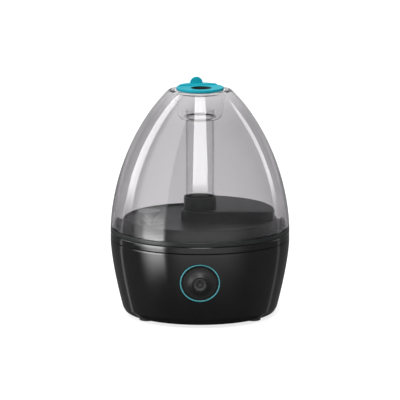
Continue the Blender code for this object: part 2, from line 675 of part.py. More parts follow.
def fan():
    """Square axial fan under the tower's roof, and its seven-bladed rotor."""
    half = FAN_SIZE / 2
    at = (FAN_X, FAN_Y, 0)
    frame = block("fan_frame", (-half, -half, FAN_LOW), (half, half, FAN_HIGH), "component_black",
                  at=at, corner=3.0)
    cut(frame, rod("fan_throat", 16.2, FAN_LOW + 1.6, FAN_HIGH + 1.0, sides=ROUND, at=at, cutter=True))
    for number in range(3):
        start, end = number * 120.0 + 9.0, number * 120.0 + 111.0
        window = arc((0, 0), 16.2, start, end, 6) + arc((0, 0), 8.6, end, start, 4)
        cut(frame, plate(f"fan_inlet_{number}", window, FAN_LOW - 1.0, FAN_LOW + 2.5, at=at, cutter=True))
    for number, (side, end) in enumerate(FAN_POSTS, 1):
        place = (FAN_X + side * 14.2, FAN_Y + end * 14.2, 0)
        cut(frame, rod(f"fan_hole_{number}", 1.4, FAN_LOW - 1, FAN_HIGH + 1, sides=8, at=place,
                       cutter=True))
        screw(f"fan_screw_{number}", 1.1, 2.2, FAN_LOW - 2.0, FAN_LOW - GAP, 89.0, at=place)
    rotor = lathe("fan_rotor",
                  [(0, 83.4), (6.6, 83.4), (7.4, 82.6), (7.4, FAN_LOW + 2.0), (0, FAN_LOW + 2.0)],
                  "component_black", SMALL, at=at)
    blades = 7
    for number in range(blades):
        blade = block(f"fan_blade_{number}", (6.5, -0.45, -3.2), (15.6, 0.45, 3.2), cutter=True,
                      at=(FAN_X, FAN_Y, 79.4))
        blade.rotation_euler = (math.radians(40.0), 0.0, math.radians(number * 360.0 / blades))
        join(rotor, blade)


# ---------------------------------------------------------------- dial


def dial_parts(dial):
    """Ring, knob and button on the leaning front wall, with what they work behind it."""
    lathe("light_ring", [(19.9, -1.3), (19.9, -2.3), (18.3, -2.3), (18.3, -1.3)], "ring_turquoise",
          32, parent=dial, ring=True)
    flare = [(15.7 - 7.3 * share, -0.9 + 3.0 * share ** 2.0) for share in spaced(1.0, 0.0, 5)]
    lathe("control_knob",
          [(7.2, 3.0), (7.9, 2.9)] + flare + [
              (16.1, -1.3), (16.1, -2.2), (8.9, -2.2), (8.9, -9.8), (5.2, -9.8), (5.2, -1.7),
              (2.7, -1.7), (2.7, -0.3), (7.1, -0.3)],
          "black_gloss", ROUND, parent=dial, ring=True)
    lathe("power_button",
          [(0, 2.7), (3.0, 2.85), (5.4, 3.3), (6.2, 3.4), (6.7, 3.0), (6.7, 0.9), (2.2, 0.9),
           (2.2, -13.6), (0, -13.6)],
          "black_gloss", SMALL, parent=dial)
    lathe("dial_encoder", [(9.5, -10.2), (9.5, -17.6), (4.9, -17.6), (4.9, -10.2)], "component_black",
          SMALL, parent=dial, ring=True)
    block("tact_switch", (-3, -3, -17.6), (3, 3, -14.9), "component_black", parent=dial)
    board = block("control_board", (-21, -21, -19.5), (21, 21, -17.9), "board_green", parent=dial)
    for number, side in enumerate((-1, 1), 1):
        cut(board, rod(f"board_hole_{number}", 1.4, -21.0, -16.0, sides=8, at=(side * 15.5, 0, 0),
                       parent=dial, cutter=True))
        screw(f"control_board_screw_{number}", 1.1, 2.2, -21.4, -19.8, -10.5, at=(side * 15.5, 0, 0),
              parent=dial)
        rod(f"light_pipe_{number}", 1.5, -17.6, -2.7, "clear_smoke", 10, at=(0, side * 19.1, 0),
            parent=dial)


# ---------------------------------------------------------------- electronics


JACK_HEIGHT = 26.0
BOARD_HEIGHT = 18.0
BOARD_CORNERS = ((-26, -17), (26, -17), (-26, 22), (26, 22))


def electronics():
    """Driver board on the bottom cover with its parts, the power jack at the back and the leads."""
    top = BOARD_HEIGHT + 1.6
    board = block("driver_board", (-30, -21, BOARD_HEIGHT), (30, 26, top), "board_green")
    for number, (x, y) in enumerate(BOARD_CORNERS[::3], 1):
        cut(board, rod(f"driver_board_hole_{number}", 1.4, 16.0, 21.0, sides=8, at=(x, y, 0),
                       cutter=True))
        screw_down(f"driver_board_screw_{number}", 1.1, 2.2, top + GAP, x, y)
    sink = block("heat_sink", (-24, 8, top + GAP), (-2, 24, top + 18), "aluminium")
    for number in range(4):
        x = -21.2 + number * 5.0
        cut(sink, block(f"sink_slot_{number}", (x, 5, top + 5), (x + 2.6, 26, top + 20), cutter=True))
    block("power_transistor", (-18, 2.6, top + GAP), (-8, 7.4, top + 15), "component_black")
    lathe("coil", [(6.0, 29.0), (6.0, 20.2), (2.6, 20.2), (2.6, 29.0)], "copper", SMALL, at=(12, 14, 0),
          ring=True)
    for number, (x, y) in enumerate(((18, -4), (8, -13)), 1):
        rod(f"capacitor_{number}", 4.0, top + GAP, top + 13.0, "component_black", at=(x, y, 0))
    jack_and_leads(top)


def screw_down(name, radius, head_radius, shoulder, x, y):
    """A pan-head screw that points down from its shoulder."""
    profile = [
        (0, shoulder + 1.5), (head_radius - 0.6, shoulder + 1.5), (head_radius, shoulder + 1.0),
        (head_radius, shoulder), (radius, shoulder), (radius, shoulder - 8.0), (0, shoulder - 9.0),
    ]
    lathe(name, profile, "steel", 8, at=(x, y, 0))


def jack_and_leads(board_top):
    """The power jack looks out through the back wall; its axis lies along Y."""
    back = empty("jack_axis", (0, 0, JACK_HEIGHT), (-90, 0, 0))
    jack_body(back)
    lathe("jack_nut", [(9.0, 76.4), (9.0, 74.3), (6.7, 74.3), (6.7, 76.4)], "steel", 6, parent=back,
          ring=True)
    wire("transducer_lead", [(0, 0, 52.4), (0, 0, 46), (4, -3, 38), (0, -8, 28), (-4, -8, 22), (-4, -8, 20.2)],
         0.9, "wire_white")
    wire("fan_lead",
         [(FAN_X, FAN_Y + 4, 73.4), (38, 21, 64), (36, 14, 44), (30, 8, 28), (25, 6, 22), (24, 6, 20.2)],
         0.9, "wire_white")
    wire("power_lead",
         [(0, 61.4, JACK_HEIGHT), (2, 56, 27), (9, 50, 28), (10, 38, 28), (6, 26, 26), (4, 22, 22),
          (4, 22, 20.2)],
         1.1, "component_black")


def jack_body(back):
    """Barrel with a round socket and a centre pin, closed at its inner end."""
    lathe(
        "dc_jack",
        [(0, 78.4), (1.0, 78.0), (1.0, 68.0), (3.0, 68.0), (3.0, 79.9), (5.5, 79.9), (5.5, 74.0),
         (6.8, 74.0), (6.8, 62.0), (0, 62.0)],
        "component_black", SMALL, parent=back,
    )


# ---------------------------------------------------------------- assembly


def main():
    dial = empty("dial_axis", (0, -housing_radius(DIAL_HEIGHT), DIAL_HEIGHT), (90.0 + DIAL_TILT, 0, 0))
    tank_shell()
    tank_floor()
    mist_tube()
    tube_gaskets()
    filler_cap()
    valve()
    nozzle()
    housing(dial)
    bottom_plate()
    feet()
    basin()
    case_screws()
    transducer()
    float_switch()
    fan()
    dial_parts(dial)
    electronics()


main()
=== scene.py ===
# %% [markdown]
# # A cool mist humidifier, dressed for its portrait
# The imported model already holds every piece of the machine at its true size. This lesson puts fine
# surfaces and real-looking finishes on the pieces that show: a smoke-tinted water tank, the black
# floor and base, a turquoise nozzle and a small dial. Everything is in metres, with +Z up and the dial
# towards -Y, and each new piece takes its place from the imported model.

# %% Load the frame
import math

import bmesh
import bpy
import numpy as np
from mathutils import Matrix, Vector


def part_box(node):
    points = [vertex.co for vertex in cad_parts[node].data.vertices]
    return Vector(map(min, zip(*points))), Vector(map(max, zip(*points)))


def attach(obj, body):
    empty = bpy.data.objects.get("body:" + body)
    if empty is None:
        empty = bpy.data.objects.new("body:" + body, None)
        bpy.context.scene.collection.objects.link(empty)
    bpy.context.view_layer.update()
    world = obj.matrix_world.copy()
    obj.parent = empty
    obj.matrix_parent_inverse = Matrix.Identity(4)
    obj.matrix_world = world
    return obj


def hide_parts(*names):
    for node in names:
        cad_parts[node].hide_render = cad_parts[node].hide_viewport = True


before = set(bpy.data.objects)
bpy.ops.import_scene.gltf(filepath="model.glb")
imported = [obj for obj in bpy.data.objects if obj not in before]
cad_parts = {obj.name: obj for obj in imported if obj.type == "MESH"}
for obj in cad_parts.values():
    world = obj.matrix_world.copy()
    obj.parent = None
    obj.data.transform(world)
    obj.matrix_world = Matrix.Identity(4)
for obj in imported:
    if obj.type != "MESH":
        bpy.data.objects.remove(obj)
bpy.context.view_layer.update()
scene = bpy.context.scene
MM = 0.001

# %% [markdown]
# Every new shape here is a sheet of points: rows and columns in a numpy array, joined into four-sided
# faces. A turned piece is a profile of (radius, height) points swept round the upright axis, and it
# runs down its outer side so that its faces look outwards. Where a row shrinks to one point, at a pole,
# the doubles are merged. Meshes made this way have no modifiers left on them and sit at the origin.

# %% Sheets of points
FINE, MEDIUM, SMALL = 160, 96, 48  # steps round large, middling and small turned pieces


def sheet_faces(rows, columns, wrap_rows, wrap_columns):
    """Four corner numbers for each face of a rows by columns grid, closed round where asked."""
    row = np.arange(rows if wrap_rows else rows - 1)[:, None]
    column = np.arange(columns if wrap_columns else columns - 1)[None, :]
    next_row, next_column = (row + 1) % rows, (column + 1) % columns
    corners = [row * columns + column, row * columns + next_column,
               next_row * columns + next_column, next_row * columns + column]
    return np.stack(np.broadcast_arrays(*corners), axis=-1).reshape(-1, 4)


def turned(profile, steps=MEDIUM, closed=True):
    """Points and faces of a profile swept round Z: x = r cos t, y = r sin t, z = height."""
    profile = np.asarray(profile, float)
    angle = np.linspace(0.0, 2.0 * np.pi, steps, endpoint=False)[:, None]
    radius, height = profile[None, :, 0], profile[None, :, 1]
    points = np.stack(
        [radius * np.cos(angle), radius * np.sin(angle), np.broadcast_to(height, (steps, len(profile)))],
        axis=-1,
    )
    return points.reshape(-1, 3), sheet_faces(steps, len(profile), True, closed)


def rounded(corners, closed=True, steps=6):
    """Outline from corners (x, y, fillet): a fillet makes the corner an arc that touches both sides."""
    outline, count = [], len(corners)
    for number, (x, y, fillet) in enumerate(corners):
        corner = np.array([x, y], float)
        if not fillet or (not closed and number in (0, count - 1)):
            outline.append(corner[None])
            continue
        before = np.array(corners[number - 1][:2]) - corner
        after = np.array(corners[(number + 1) % count][:2]) - corner
        before, after = before / np.linalg.norm(before), after / np.linalg.norm(after)
        half = np.arccos(np.clip(before @ after, -1.0, 1.0)) / 2.0
        middle = before + after
        centre = corner + middle / np.linalg.norm(middle) * fillet / np.sin(half)
        first = corner + before * fillet / np.tan(half) - centre
        last = corner + after * fillet / np.tan(half) - centre
        sweep = np.arccos(np.clip(first @ last / fillet ** 2, -1.0, 1.0))
        share = np.linspace(0.0, 1.0, steps + 1)[:, None]
        spoke = np.sin((1 - share) * sweep) * first + np.sin(share * sweep) * last
        outline.append(centre + spoke / np.sin(sweep))
    return np.concatenate(outline)


def prism(outline, low, high, fillet_low=0.0, fillet_high=0.0, steps=4):
    """An outline (counter-clockwise) raised from low to high. The rounded rims draw in along the
    outline's normals by a quarter circle. The caps are flat faces."""
    outline = np.asarray(outline, float)
    edge = np.roll(outline, -1, axis=0) - outline
    normal = np.stack([edge[:, 1], -edge[:, 0]], axis=-1)
    normal /= np.linalg.norm(normal, axis=1)[:, None]
    corner = normal + np.roll(normal, 1, axis=0)
    corner /= np.maximum((corner * normal).sum(1), 0.35)[:, None]
    turn = np.linspace(0.0, np.pi / 2, steps + 1)
    levels = []
    if fillet_high:
        levels += [(fillet_high * (1 - np.sin(t)), high - fillet_high * (1 - np.cos(t))) for t in turn]
    else:
        levels.append((0.0, high))
    if fillet_low:
        levels += [(fillet_low * (1 - np.cos(t)), low + fillet_low * (1 - np.sin(t))) for t in turn]
    else:
        levels.append((0.0, low))
    rings = [np.c_[outline - corner * inset, np.full(len(outline), height)] for inset, height in levels]
    points = np.stack(rings, axis=1)
    faces = sheet_faces(len(outline), len(levels), True, False).tolist()
    count = len(levels)
    top = [number * count for number in range(len(outline))]
    bottom = [number * count + count - 1 for number in reversed(range(len(outline)))]
    return points.reshape(-1, 3), faces + [top, bottom]


def moved(shape, at=(0.0, 0.0, 0.0), turn=None):
    """A copy of a shape turned by a 3 by 3 matrix and then shifted."""
    points, faces = shape
    if turn is not None:
        points = points @ np.asarray(turn).T
    return points + np.asarray(at), faces


def mesh_object(name, shapes, scale=MM):
    """One object from several closed shapes, with poles merged."""
    points, faces, start = [], [], 0
    for shape_points, shape_faces in shapes:
        points.append(shape_points)
        if isinstance(shape_faces, list):  # faces with different numbers of corners
            faces += [[corner + start for corner in face] for face in shape_faces]
        else:
            faces += (shape_faces + start).tolist()
        start += len(shape_points)
    mesh = bpy.data.meshes.new(name)
    mesh.from_pydata((np.concatenate(points) * scale).tolist(), [], faces)
    work = bmesh.new()
    work.from_mesh(mesh)
    bmesh.ops.remove_doubles(work, verts=work.verts, dist=1e-7)
    work.to_mesh(mesh)
    work.free()
    obj = bpy.data.objects.new(name, mesh)
    scene.collection.objects.link(obj)
    return obj


def shape_of(mesh):
    """Points in millimetres and faces of a finished mesh, so that it can be moved or carved again."""
    return np.array([v.co for v in mesh.vertices]) / MM, [list(p.vertices) for p in mesh.polygons]


def middle_of(node_name):
    """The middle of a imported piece's box, seen from above, in millimetres."""
    lowest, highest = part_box(node_name)
    return tuple((a + b) / 2 / MM for a, b in zip(lowest[:2], highest[:2]))


def carved(name, solid, added=(), cut=()):
    """The first shape joined with the added ones and then cut by the others, as one closed mesh."""
    body = mesh_object(name, [solid])
    for operation, shapes in (("UNION", added), ("DIFFERENCE", cut)):
        for shape in shapes:
            tool = mesh_object("tool", [shape])
            change = body.modifiers.new("carve", "BOOLEAN")
            change.operation, change.object, change.solver = operation, tool, "EXACT"
            graph = bpy.context.evaluated_depsgraph_get()
            result = bpy.data.meshes.new_from_object(body.evaluated_get(graph))
            body.modifiers.clear()
            body.data = result
            bpy.data.objects.remove(tool, do_unlink=True)
    return body


def dress(obj, material, body, replaces=(), sharp=32.0):
    """Smooth shading with crisp edges, a finish, and the piece's place in the frame."""
    obj.data.materials.clear()
    obj.data.materials.append(material)
    obj.data.shade_smooth()
    obj.data.set_sharp_from_angle(angle=math.radians(sharp))
    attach(obj, body)
    if replaces:
        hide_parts(*replaces)
    print(f"{obj.name}: {len(obj.data.polygons)} faces")
    return obj


# %% [markdown]
# The tank's egg and the base's side are each one power curve, so both are written as formulas. The
# egg stands upright where it meets the base and closes towards the top; the base draws in towards its
# foot. Both start from the same widest radius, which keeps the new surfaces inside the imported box.

# %% The two outer curves
WIDEST = 89.6  # radius at the seam
SEAM, HOUSING_TOP = 85.0, 77.7
EGG_FOOT, EGG_HEIGHT = 84.0, 162.6  # where the egg's curve starts, and how high it would close
SIDE_HEIGHT, DRAWN_IN = 62.7, 10.6  # the base's side is this high, and draws in this much


def tank_radius(height):
    """Radius of the egg: R (1 - s^1.85)^0.67, with s the share of the way up from the seam."""
    share = np.clip((np.asarray(height, float) - EGG_FOOT) / EGG_HEIGHT, 0.0, 0.999)
    return WIDEST * (1.0 - share ** 1.85) ** 0.67


def housing_radius(height):
    """Radius of the base's side: R - p d^1.5, with p how far it draws in and d the share of the way down."""
    below = np.clip(HOUSING_TOP - np.asarray(height, float), 0.0, None)
    return WIDEST - DRAWN_IN * (below / SIDE_HEIGHT) ** 1.5


def along_normal(profile, distance):
    """A profile shifted sideways by a distance, to the left of its direction of travel when positive."""
    step = np.gradient(profile, axis=0)
    side = np.stack([-step[:, 1], step[:, 0]], axis=-1)
    return profile + side / np.linalg.norm(side, axis=1)[:, None] * distance


print("radius at the seam", WIDEST, "and at the base's foot", round(float(housing_radius(15.0)), 2))

# %% [markdown]
# The camera comes early, because every later choice is judged through it. The view is from slightly
# above the table with a very long lens, which keeps the base's curves nearly parallel, as a catalogue
# picture does. The view is square, and at this distance it takes in 400 mm.

# %% The camera
ELEVATION = math.radians(10.66)
DISTANCE, SENSOR, VIEW_WIDTH = 4.2, 36.0, 0.4
LOOK_AT = Vector((0.0, 0.0, 0.1157))
camera_data = bpy.data.cameras.new("camera")
camera_data.sensor_width = SENSOR
camera_data.lens = SENSOR * DISTANCE / VIEW_WIDTH
camera_data.clip_end = 100.0
camera = bpy.data.objects.new("camera", camera_data)
scene.collection.objects.link(camera)
camera.location = LOOK_AT + DISTANCE * Vector((0.0, -math.cos(ELEVATION), math.sin(ELEVATION)))
camera.rotation_euler = (math.pi / 2 - ELEVATION, 0.0, 0.0)
scene.camera = camera
scene.view_settings.view_transform = "Standard"
print("camera at", tuple(round(c, 3) for c in camera.location))

# %% [markdown]
# Glossy and clear things are mostly pictures of the room around them, so the light is made as a room.
# The world holds soft light cards: a long one over the front, tall ones beside the machine, a broad
# one on the left whose far side fades, and a pale backdrop that keeps the tank's outline light. Each
# card is the same node group, a window in two angles with soft sides. What is seen straight or through
# the tank is a plain white room.

# %% The room of light cards


def node(tree, kind, **settings):
    """A new node in a tree, with its settings."""
    made = tree.nodes.new(kind)
    for key, value in settings.items():
        setattr(made, key, value)
    return made


def feed(tree, target, source):
    """Links a socket, or sets a plain value."""
    if isinstance(source, bpy.types.NodeSocket):
        tree.links.new(source, target)
    else:
        target.default_value = source


def math_node(tree, operation, *values):
    made = node(tree, "ShaderNodeMath", operation=operation)
    for socket, value in zip(made.inputs, values):
        feed(tree, socket, value)
    return made.outputs[0]


def ramp(tree, value, start, stop):
    """Smooth step from 0 at start to 1 at stop."""
    made = node(tree, "ShaderNodeMapRange", interpolation_type="SMOOTHSTEP")
    feed(tree, made.inputs["Value"], value)
    feed(tree, made.inputs["From Min"], start)
    feed(tree, made.inputs["From Max"], stop)
    return made.outputs["Result"]


def new_group(name, inputs, outputs):
    """An empty shader node group with float inputs (name: value) and outputs (name: kind)."""
    group = bpy.data.node_groups.new(name, "ShaderNodeTree")
    for socket, value in inputs.items():
        kind = "NodeSocketVector" if value is None else "NodeSocketFloat"
        made = group.interface.new_socket(socket, in_out="INPUT", socket_type=kind)
        if value is not None:
            made.default_value = value
    for socket, kind in outputs.items():
        group.interface.new_socket(socket, in_out="OUTPUT", socket_type=kind)
    return group, group.nodes.new("NodeGroupInput"), group.nodes.new("NodeGroupOutput")


def use_group(tree, group, **values):
    """Places a group in a tree; a value's name is the socket's with underscores for spaces."""
    made = node(tree, "ShaderNodeGroup")
    made.node_tree = group
    for key, value in values.items():
        feed(tree, made.inputs[key.replace("_", " ")], value)
    return made


card, card_in, card_out = new_group(
    "light_card",
    {"Across": 0.0, "Up": 0.0, "Left": -10.0, "Right": 10.0, "Left Soft": 2.0, "Right Soft": 2.0,
     "Bottom": 0.0, "Top": 45.0, "Bottom Soft": 5.0, "Top Soft": 5.0, "Strength": 1.0},
    {"Light": "NodeSocketFloat"},
)
sides = []
for value, near, far, near_soft, far_soft in (
    ("Across", "Left", "Right", "Left Soft", "Right Soft"),
    ("Up", "Bottom", "Top", "Bottom Soft", "Top Soft"),
):
    low, high = card_in.outputs[near], card_in.outputs[far]
    before = math_node(card, "SUBTRACT", low, card_in.outputs[near_soft])
    after = math_node(card, "ADD", high, card_in.outputs[far_soft])
    rise = ramp(card, card_in.outputs[value], before, low)
    fall = ramp(card, card_in.outputs[value], high, after)
    sides += [rise, math_node(card, "SUBTRACT", 1.0, fall)]
light = card_in.outputs["Strength"]
for side in sides:
    light = math_node(card, "MULTIPLY", light, side)
card.links.new(light, card_out.inputs["Light"])

world = bpy.data.worlds.new("studio")
world.use_nodes = True
scene.world = world
tree = world.node_tree
tree.nodes.clear()
direction = node(tree, "ShaderNodeSeparateXYZ")
tree.links.new(node(tree, "ShaderNodeTexCoord").outputs["Generated"], direction.inputs[0])
x, y, z = direction.outputs
toward = math_node(tree, "MULTIPLY", y, -1.0)


def in_degrees(operation, *values):
    return math_node(tree, "MULTIPLY", math_node(tree, operation, *values), 180.0 / math.pi)


azimuth = in_degrees("ARCTAN2", x, toward)
elevation = in_degrees("ARCSINE", z)
over_front = in_degrees("ARCTAN2", z, toward)
half_elevation = math_node(tree, "MULTIPLY", elevation, 0.5)
left_lean = math_node(tree, "SUBTRACT", azimuth, half_elevation)
right_lean = math_node(tree, "ADD", azimuth, half_elevation)
# Each card: (across, left, right, soft left, soft right), (up, bottom, top, soft bottom, soft top), strength
cards = {
    "strip over the front": ((x, -0.165, 0.175, 0.01, 0.01), (over_front, 28.0, 72.0, 10.0, 16.0), 16.0),
    "left streak": ((azimuth, -118.0, -104.0, 2.0, 4.0), (elevation, 10.0, 44.0, 12.0, 14.0), 10.0),
    "left streak below": ((left_lean, -118.0, -116.0, 2.0, 2.0), (elevation, -40.0, 2.0, 12.0, 14.0), 1.3),
    "right streak": ((azimuth, 117.5, 124.5, 3.0, 2.0), (elevation, 9.0, 32.0, 12.0, 8.0), 6.5),
    "right streak below": ((right_lean, 115.5, 118.5, 2.0, 2.0), (elevation, -40.0, 0.0, 12.0, 14.0), 0.5),
    "left panel": ((azimuth, -84.0, -48.0, 14.0, 5.0), (elevation, -7.0, 52.0, 4.0, 24.0), 3.4),
    "left panel below": ((azimuth, -62.0, -50.0, 26.0, 5.0), (elevation, -16.0, -7.0, 14.0, 5.0), 8.0),
    "left panel at the seam": ((azimuth, -73.0, -50.0, 9.0, 5.0), (elevation, -7.0, 1.0, 4.0, 7.0), 6.0),
    "backdrop left": ((azimuth, -182.0, -150.0, 1.0, 14.0), (elevation, 2.0, 80.0, 8.0, 10.0), 0.8),
    "backdrop right": ((azimuth, 150.0, 182.0, 14.0, 1.0), (elevation, 2.0, 80.0, 8.0, 10.0), 0.8),
    "front glow": ((azimuth, -20.0, 28.0, 30.0, 44.0), (elevation, -13.0, -4.0, 26.0, 14.0), 0.95),
}
ROOM, DARK_BELOW = 0.16, 0.03  # how bright the room is between the cards, and far below the table
light = math_node(tree, "MULTIPLY", ramp(tree, elevation, -46.0, -26.0), ROOM - DARK_BELOW)
light = math_node(tree, "ADD", light, DARK_BELOW)
for across_window, up_window, strength in cards.values():
    across, left, right, left_soft, right_soft = across_window
    up, bottom, top, bottom_soft, top_soft = up_window
    placed = use_group(tree, card, Across=across, Up=up, Left=left, Right=right, Left_Soft=left_soft,
                       Right_Soft=right_soft, Bottom=bottom, Top=top, Bottom_Soft=bottom_soft,
                       Top_Soft=top_soft, Strength=strength)
    light = math_node(tree, "ADD", placed.outputs["Light"], light)
path = node(tree, "ShaderNodeLightPath")
seen = math_node(tree, "MAXIMUM", path.outputs["Is Camera Ray"], path.outputs["Is Transmission Ray"])
blend = node(tree, "ShaderNodeMix", data_type="FLOAT")
feed(tree, blend.inputs[0], seen)
feed(tree, blend.inputs[2], light)
feed(tree, blend.inputs[3], 1.0)
background = node(tree, "ShaderNodeBackground")
tree.links.new(blend.outputs[0], background.inputs["Strength"])
tree.links.new(background.outputs[0], node(tree, "ShaderNodeOutputWorld").inputs["Surface"])
print("light cards:", ", ".join(cards))

# %% [markdown]
# The floor is one wide pale plane that glows softly, like the light table used for catalogue pictures,
# so only a faint contact shadow is left. The glossy base would mirror a white floor and lose its black,
# so the floor stays out of reflections, as a black card under the lens would keep it.

# %% The floor and the overhead lamp
bpy.ops.mesh.primitive_plane_add(size=60.0, location=(0.0, 0.0, 0.0))
floor = bpy.context.object
floor.name = "studio_floor"
floor.visible_glossy = False
floor_finish = bpy.data.materials.new("studio_floor")
floor_finish.use_nodes = True
floor_shader = floor_finish.node_tree.nodes["Principled BSDF"]
floor_shader.inputs["Base Color"].default_value = (0.2, 0.2, 0.2, 1.0)
floor_shader.inputs["Roughness"].default_value = 0.9
floor_shader.inputs["Specular IOR Level"].default_value = 0.0
floor_shader.inputs["Emission Color"].default_value = (1.0, 1.0, 1.0, 1.0)
floor_shader.inputs["Emission Strength"].default_value = 0.8
floor.data.materials.append(floor_finish)


def soft_lamp(name, at, size, power):
    """A square lamp that looks at the machine and stays out of reflections."""
    data = bpy.data.lights.new(name, "AREA")
    data.size = size
    data.energy = power
    lamp = bpy.data.objects.new(name, data)
    scene.collection.objects.link(lamp)
    lamp.location = at
    lamp.rotation_euler = (Vector((0.0, 0.0, 0.1)) - Vector(at)).to_track_quat("-Z", "Y").to_euler()
    lamp.visible_glossy = False
    lamp.visible_transmission = False
    lamp.visible_camera = False
    return lamp


soft_lamp("overhead", (0.0, -0.3, 1.9), 2.2, 46.0)
soft_lamp("front_fill", (-0.7, -1.9, 0.8), 1.2, 12.0)

# %% [markdown]
# Moulded plastic is never perfectly even. Close up it has a fine grain from the tool, it swells a
# little where it shrank as it cooled, and hands leave broad faint patches in the gloss. One group makes
# all three from the piece's own coordinates, and each plastic sets how much of each it has.

# %% The moulded surface group
moulded, moulded_in, moulded_out = new_group(
    "moulded_surface",
    {"Position": None, "Roughness": 0.2, "Patches": 0.05, "Grain": 0.2, "Grain Scale": 1500.0, "Swell": 0.3},
    {"Roughness": "NodeSocketFloat", "Height": "NodeSocketFloat", "Wear": "NodeSocketFloat"},
)


def noise(tree, position, scale, detail=2.0, roughness=0.5):
    made = node(tree, "ShaderNodeTexNoise")
    feed(tree, made.inputs["Vector"], position)
    feed(tree, made.inputs["Scale"], scale)
    made.inputs["Detail"].default_value = detail
    made.inputs["Roughness"].default_value = roughness
    return made.outputs["Fac"]


place = moulded_in.outputs["Position"]
patches = math_node(moulded, "SUBTRACT", noise(moulded, place, 28.0, 4.0, 0.6), 0.5)
change = math_node(moulded, "MULTIPLY", patches, moulded_in.outputs["Patches"])
uneven = math_node(moulded, "ADD", moulded_in.outputs["Roughness"], change)
moulded.links.new(uneven, moulded_out.inputs["Roughness"])
fine = noise(moulded, place, moulded_in.outputs["Grain Scale"])
grain = math_node(moulded, "MULTIPLY", fine, moulded_in.outputs["Grain"])
swell = math_node(moulded, "MULTIPLY", noise(moulded, place, 45.0, 1.0), moulded_in.outputs["Swell"])
moulded.links.new(math_node(moulded, "ADD", grain, swell), moulded_out.inputs["Height"])
moulded.links.new(ramp(moulded, patches, -0.1, 0.15), moulded_out.inputs["Wear"])

# %% [markdown]
# A finish is a Principled shader with the group's outputs plugged in. The colour gets a second, slightly
# different tone where the patches lie, so that no face is one flat colour. Opaque plastic, rubber and
# metal all go through the same short recipe with their own numbers.

# %% Opaque finishes


def finish(name, colour, tone=None, roughness=0.3, patches=0.05, grain=0.2, grain_scale=1500.0, swell=0.3,
           bump=0.05, metallic=0.0, coat=0.0, specular=0.5):
    """A material from the moulded surface group; colour shifts to tone where the patches lie."""
    material = bpy.data.materials.new(name)
    material.use_nodes = True
    tree = material.node_tree
    shader = tree.nodes["Principled BSDF"]
    position = node(tree, "ShaderNodeTexCoord").outputs["Object"]
    surface = use_group(tree, moulded, Position=position, Roughness=roughness, Patches=patches, Grain=grain,
                        Grain_Scale=grain_scale, Swell=swell)
    mix = node(tree, "ShaderNodeMix", data_type="RGBA")
    tree.links.new(surface.outputs["Wear"], mix.inputs["Factor"])
    mix.inputs[6].default_value = (*colour, 1.0)
    mix.inputs[7].default_value = (*(tone or [c * 1.25 for c in colour]), 1.0)
    tree.links.new(mix.outputs[2], shader.inputs["Base Color"])
    tree.links.new(surface.outputs["Roughness"], shader.inputs["Roughness"])
    relief = node(tree, "ShaderNodeBump")
    relief.inputs["Strength"].default_value = bump
    relief.inputs["Distance"].default_value = 0.0004
    tree.links.new(surface.outputs["Height"], relief.inputs["Height"])
    tree.links.new(relief.outputs["Normal"], shader.inputs["Normal"])
    shader.inputs["Metallic"].default_value = metallic
    shader.inputs["Specular IOR Level"].default_value = specular
    shader.inputs["Coat Weight"].default_value = coat
    return material


black_gloss = finish("black_gloss", (0.0038, 0.0038, 0.004), roughness=0.13, patches=0.05, grain=0.1)
floor_black = finish("floor_black", (0.007, 0.0085, 0.008), roughness=0.33, patches=0.08,
                     grain=0.3, specular=0.3)
dial_black = finish("dial_black", (0.0045, 0.0045, 0.0045), roughness=0.5, patches=0.06, grain=0.5,
                    specular=0.35)
button_black = finish("button_black", (0.014, 0.014, 0.014), roughness=0.4, patches=0.05, grain=0.4)
turquoise = finish("turquoise", (0.0, 0.16, 0.2), (0.0, 0.148, 0.187), roughness=0.5, grain=0.4,
                   bump=0.08, specular=0.15)
ring_turquoise = finish("ring_turquoise", (0.03, 0.19, 0.21), (0.03, 0.165, 0.185), roughness=0.35)
black_matte = finish("black_matte", (0.018, 0.018, 0.018), roughness=0.55, grain=0.8,
                     grain_scale=1100.0, bump=0.2)
rubber = finish("rubber", (0.012, 0.012, 0.012), (0.022, 0.022, 0.021), roughness=0.75, grain=0.8,
                bump=0.2)
silicone = finish("silicone", (0.34, 0.34, 0.35), (0.30, 0.30, 0.31), roughness=0.5, grain=0.3)
component = finish("component", (0.02, 0.02, 0.021), roughness=0.45, grain=0.6, bump=0.12)
steel = finish("steel", (0.56, 0.56, 0.57), roughness=0.28, grain=0.3, metallic=1.0)
aluminium = finish("aluminium", (0.72, 0.73, 0.75), roughness=0.34, grain=0.5, metallic=1.0)
brass = finish("brass", (0.62, 0.47, 0.2), (0.7, 0.66, 0.6), roughness=0.25, metallic=1.0)
copper = finish("copper", (0.6, 0.26, 0.12), roughness=0.3, grain=1.0, grain_scale=700.0, bump=0.5,
                metallic=1.0)
board = finish("board", (0.015, 0.12, 0.045), (0.01, 0.085, 0.03), roughness=0.35, patches=0.1)
wire_white = finish("wire_white", (0.62, 0.62, 0.6), roughness=0.45)
float_white = finish("float_white", (0.72, 0.72, 0.7), (0.66, 0.66, 0.63), roughness=0.6,
                     grain=0.9, bump=0.3)
print("opaque finishes made")

# %% [markdown]
# The tank is clear plastic with a light smoke tint. Real walls darken what is behind them by how much
# plastic the light crosses, so the tint is a Volume Absorption inside the wall, and the surface only
# bends and mirrors. Lamps can't shine through such a wall without many samples, so for shadow rays alone
# the wall is a plain tinted pane, chosen with Light Path.

# %% Clear finishes


